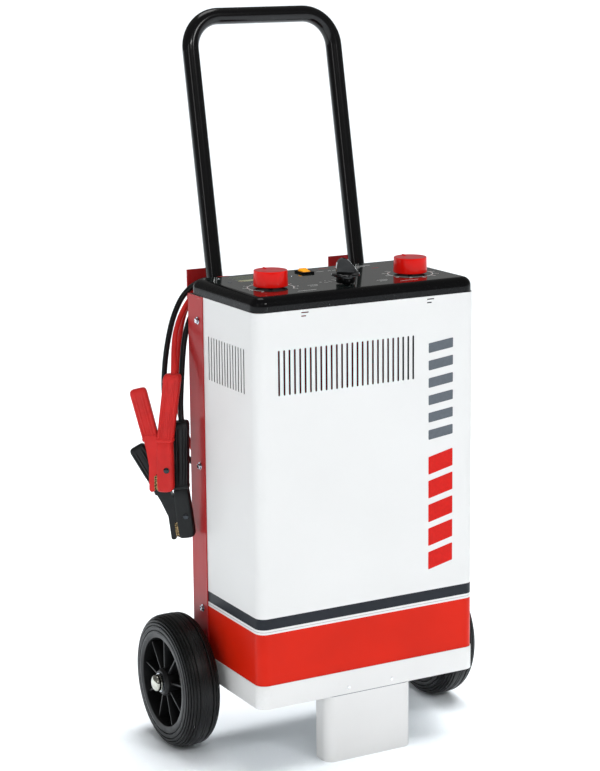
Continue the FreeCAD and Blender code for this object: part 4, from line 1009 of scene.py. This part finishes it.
def make_clamp(name):
    """The fixed half, hollowed for the lever, and the lever with its own grip."""
    place = clamp_place(name)
    flat = axes_at((0, 0, 0), (1, 0, 0), (0, 0, 1))
    bm = bmesh.new()
    jaw = [section(*row, square=JAW_SQUARENESS) for row in FIXED_JAW]
    loft(bm, jaw + sleeve(41.8, 144, -3.4, 10.5, 13.4, 9, 1.5))
    bmesh.ops.transform(bm, matrix=place, verts=bm.verts)
    fixed = make_piece(name + "_clamp_grip", bm, name + "_rubber", "cabinet",
                       [name + "_clamp_body"], sharp=28)
    tool = bmesh.new()
    prism(tool, CHANNEL, -WALL_ROOM, WALL_ROOM, flat)
    bmesh.ops.transform(tool, matrix=place, verts=tool.verts)
    bmesh.ops.recalc_face_normals(tool, faces=tool.faces)
    boolean_cut(fixed, tool)

    bm = bmesh.new()
    splay = Matrix.Rotation(math.radians(-CLAMPS[name][3]), 4, "Y")
    arm = [splay @ Vector((x, 0, z)) for x, z in LEVER_ARM]
    outline = LEVER_NOSE + [(point.x, point.z) for point in arm]
    prism(bm, softened(outline, 3.2), -LEVER_HALF, LEVER_HALF, flat, bevel=1.9)
    lean = Matrix.Rotation(math.radians(LEVER_GRIP_LEAN), 4, "Y")
    lean = splay @ Matrix.Translation(LEVER_GRIP_START) @ lean
    loft(bm, [[lean @ point for point in ring] for ring in sleeve(0, 79, 0, 0, 13, LEVER_HALF, 1.3)])
    bmesh.ops.transform(bm, matrix=place, verts=bm.verts)
    make_piece(name + "_clamp_arm", bm, name + "_rubber", name + "_lever",
               [name + "_clamp_lever"], sharp=28)


def make_clamp_pivots():
    """Domed rivet heads on both clamps."""
    bm = bmesh.new()
    for name in CLAMPS:
        place = clamp_place(name)
        origin = place @ Vector((0, 0, 0))
        axis = (place @ Vector((0, 1, 0)) - origin).normalized()
        lathe(bm, [(-9.4 * MM, 3 * MM), (9.4 * MM, 3 * MM)], origin, axis, 28)
        for way in (-1, 1):
            dome = [(8.9, 3), (8.9, 4.5), (9.3, 4.5)] + [(9.3 + 1.3 * math.sin(t), 4.5 * math.cos(t))
                                                        for t in (0.35, 0.7, 1.05, 1.35)] + [(10.6, 0)]
            lathe(bm, [(along * MM, radius * MM) for along, radius in dome], origin, axis * way, 36)
    make_piece("clamp_pivot_domes", bm, "pivot_steel", "cabinet", ["clamp_pivots"], sharp=50)


for side, sign in (("left", -1), ("right", 1)):
    make_wheel(side, sign)
    make_knob(side)
make_hub_caps()
make_bolts()
make_panel_screws()
make_leg_rivets()
make_selector()
make_rocker()
make_panel_print()
make_meter_face()
make_front_marks()
for gland in ("red_gland", "black_gland", "mains_gland"):
    make_gland(gland)
for clamp in CLAMPS:
    make_clamp(clamp)
make_clamp_pivots()


# ---- CAD nodes that stay
def finish_cad_nodes():
    """Give every CAD node that still shows its finish, by its slot in the record."""
    slots = {part["node"]: part["material_slot"] for part in frame["record"]["subparts"]}
    special = {"casing": "banded", "front_leg": "leg_enamel"}
    for node, cad in frame["nodes"].items():
        if not cad.hide_render:
            cad.data.materials.clear()
            cad.data.materials.append(finish[special.get(node, slots[node])])


finish_cad_nodes()
for node in ("rear_panel", "left_cable_hook", "right_cable_hook", "base_tray", "front_leg", "rocker_bezel",
             "control_panel"):
    soften_cad(node)


# ---- studio
def make_floor():
    bpy.ops.mesh.primitive_plane_add(size=60, location=(0, 8, 0))
    floor = bpy.context.object
    floor.name = "floor"
    surface = Surface("floor", 0.9, specular=0.1)
    surface.colour(surface.tinted((0.87, 0.92, 0.96), 0.004, 1.5))
    floor.data.materials.append(surface.material)


def make_light(name, place, target, size, power, shape="RECTANGLE"):
    data = bpy.data.lights.new(name, "AREA")
    data.shape = shape
    data.size, data.size_y = size
    data.energy = power
    light = add_object(name, data)
    light.location = place
    light.rotation_euler = (Vector(target) - Vector(place)).to_track_quat("-Z", "Y").to_euler()
    return light


def make_floor_light():
    """A broad sun that only the floor receives: a white ground with soft shadows."""
    data = bpy.data.lights.new("floor_sun", "SUN")
    data.energy = 2.95
    data.angle = math.radians(44)
    sun = add_object("floor_sun", data)
    sun.rotation_euler = Vector((-0.3, -0.05, -1)).to_track_quat("-Z", "Y").to_euler()
    receivers = bpy.data.collections.new("floor_only")
    receivers.objects.link(bpy.data.objects["floor"])
    sun.light_linking.receiver_collection = receivers


def make_world():
    """White to the camera, softer in reflections so that glossy black stays deep."""
    world = bpy.data.worlds.new("studio")
    bpy.context.scene.world = world
    world.use_nodes = True
    tree = world.node_tree
    background = tree.nodes["Background"]
    background.inputs["Color"].default_value = (1.0, 0.995, 0.985, 1)
    rays = tree.nodes.new("ShaderNodeLightPath")
    level = tree.nodes.new("ShaderNodeMapRange")
    level.inputs["To Min"].default_value = 0.43
    level.inputs["To Max"].default_value = 0.2
    tree.links.new(rays.outputs["Is Glossy Ray"], level.inputs["Value"])
    seen = tree.nodes.new("ShaderNodeMath")
    seen.operation = "MAXIMUM"
    tree.links.new(rays.outputs["Is Camera Ray"], seen.inputs[0])
    tree.links.new(level.outputs["Result"], seen.inputs[1])
    tree.links.new(seen.outputs["Value"], background.inputs["Strength"])


def make_studio():
    make_floor()
    make_floor_light()
    make_world()
    focus = (0, 0, 0.5)
    make_light("key", (1.2, -4.2, 3.2), focus, (0.9, 0.9), 32)
    make_light("fill", (-3.6, -2.2, 2.0), focus, (0.35, 1.6), 8)
    make_light("top", (0.2, 0.8, 4.0), focus, (1.6, 1.6), 28)
    for index, x in enumerate((-1.5, -1.05)):
        make_light("spark_%d" % index, (x, -3.6, 3.0), (-0.18, -0.17, 0.7), (0.1, 0.1), 9, "ELLIPSE")


make_studio()
bpy.context.scene.view_settings.view_transform = "Standard"
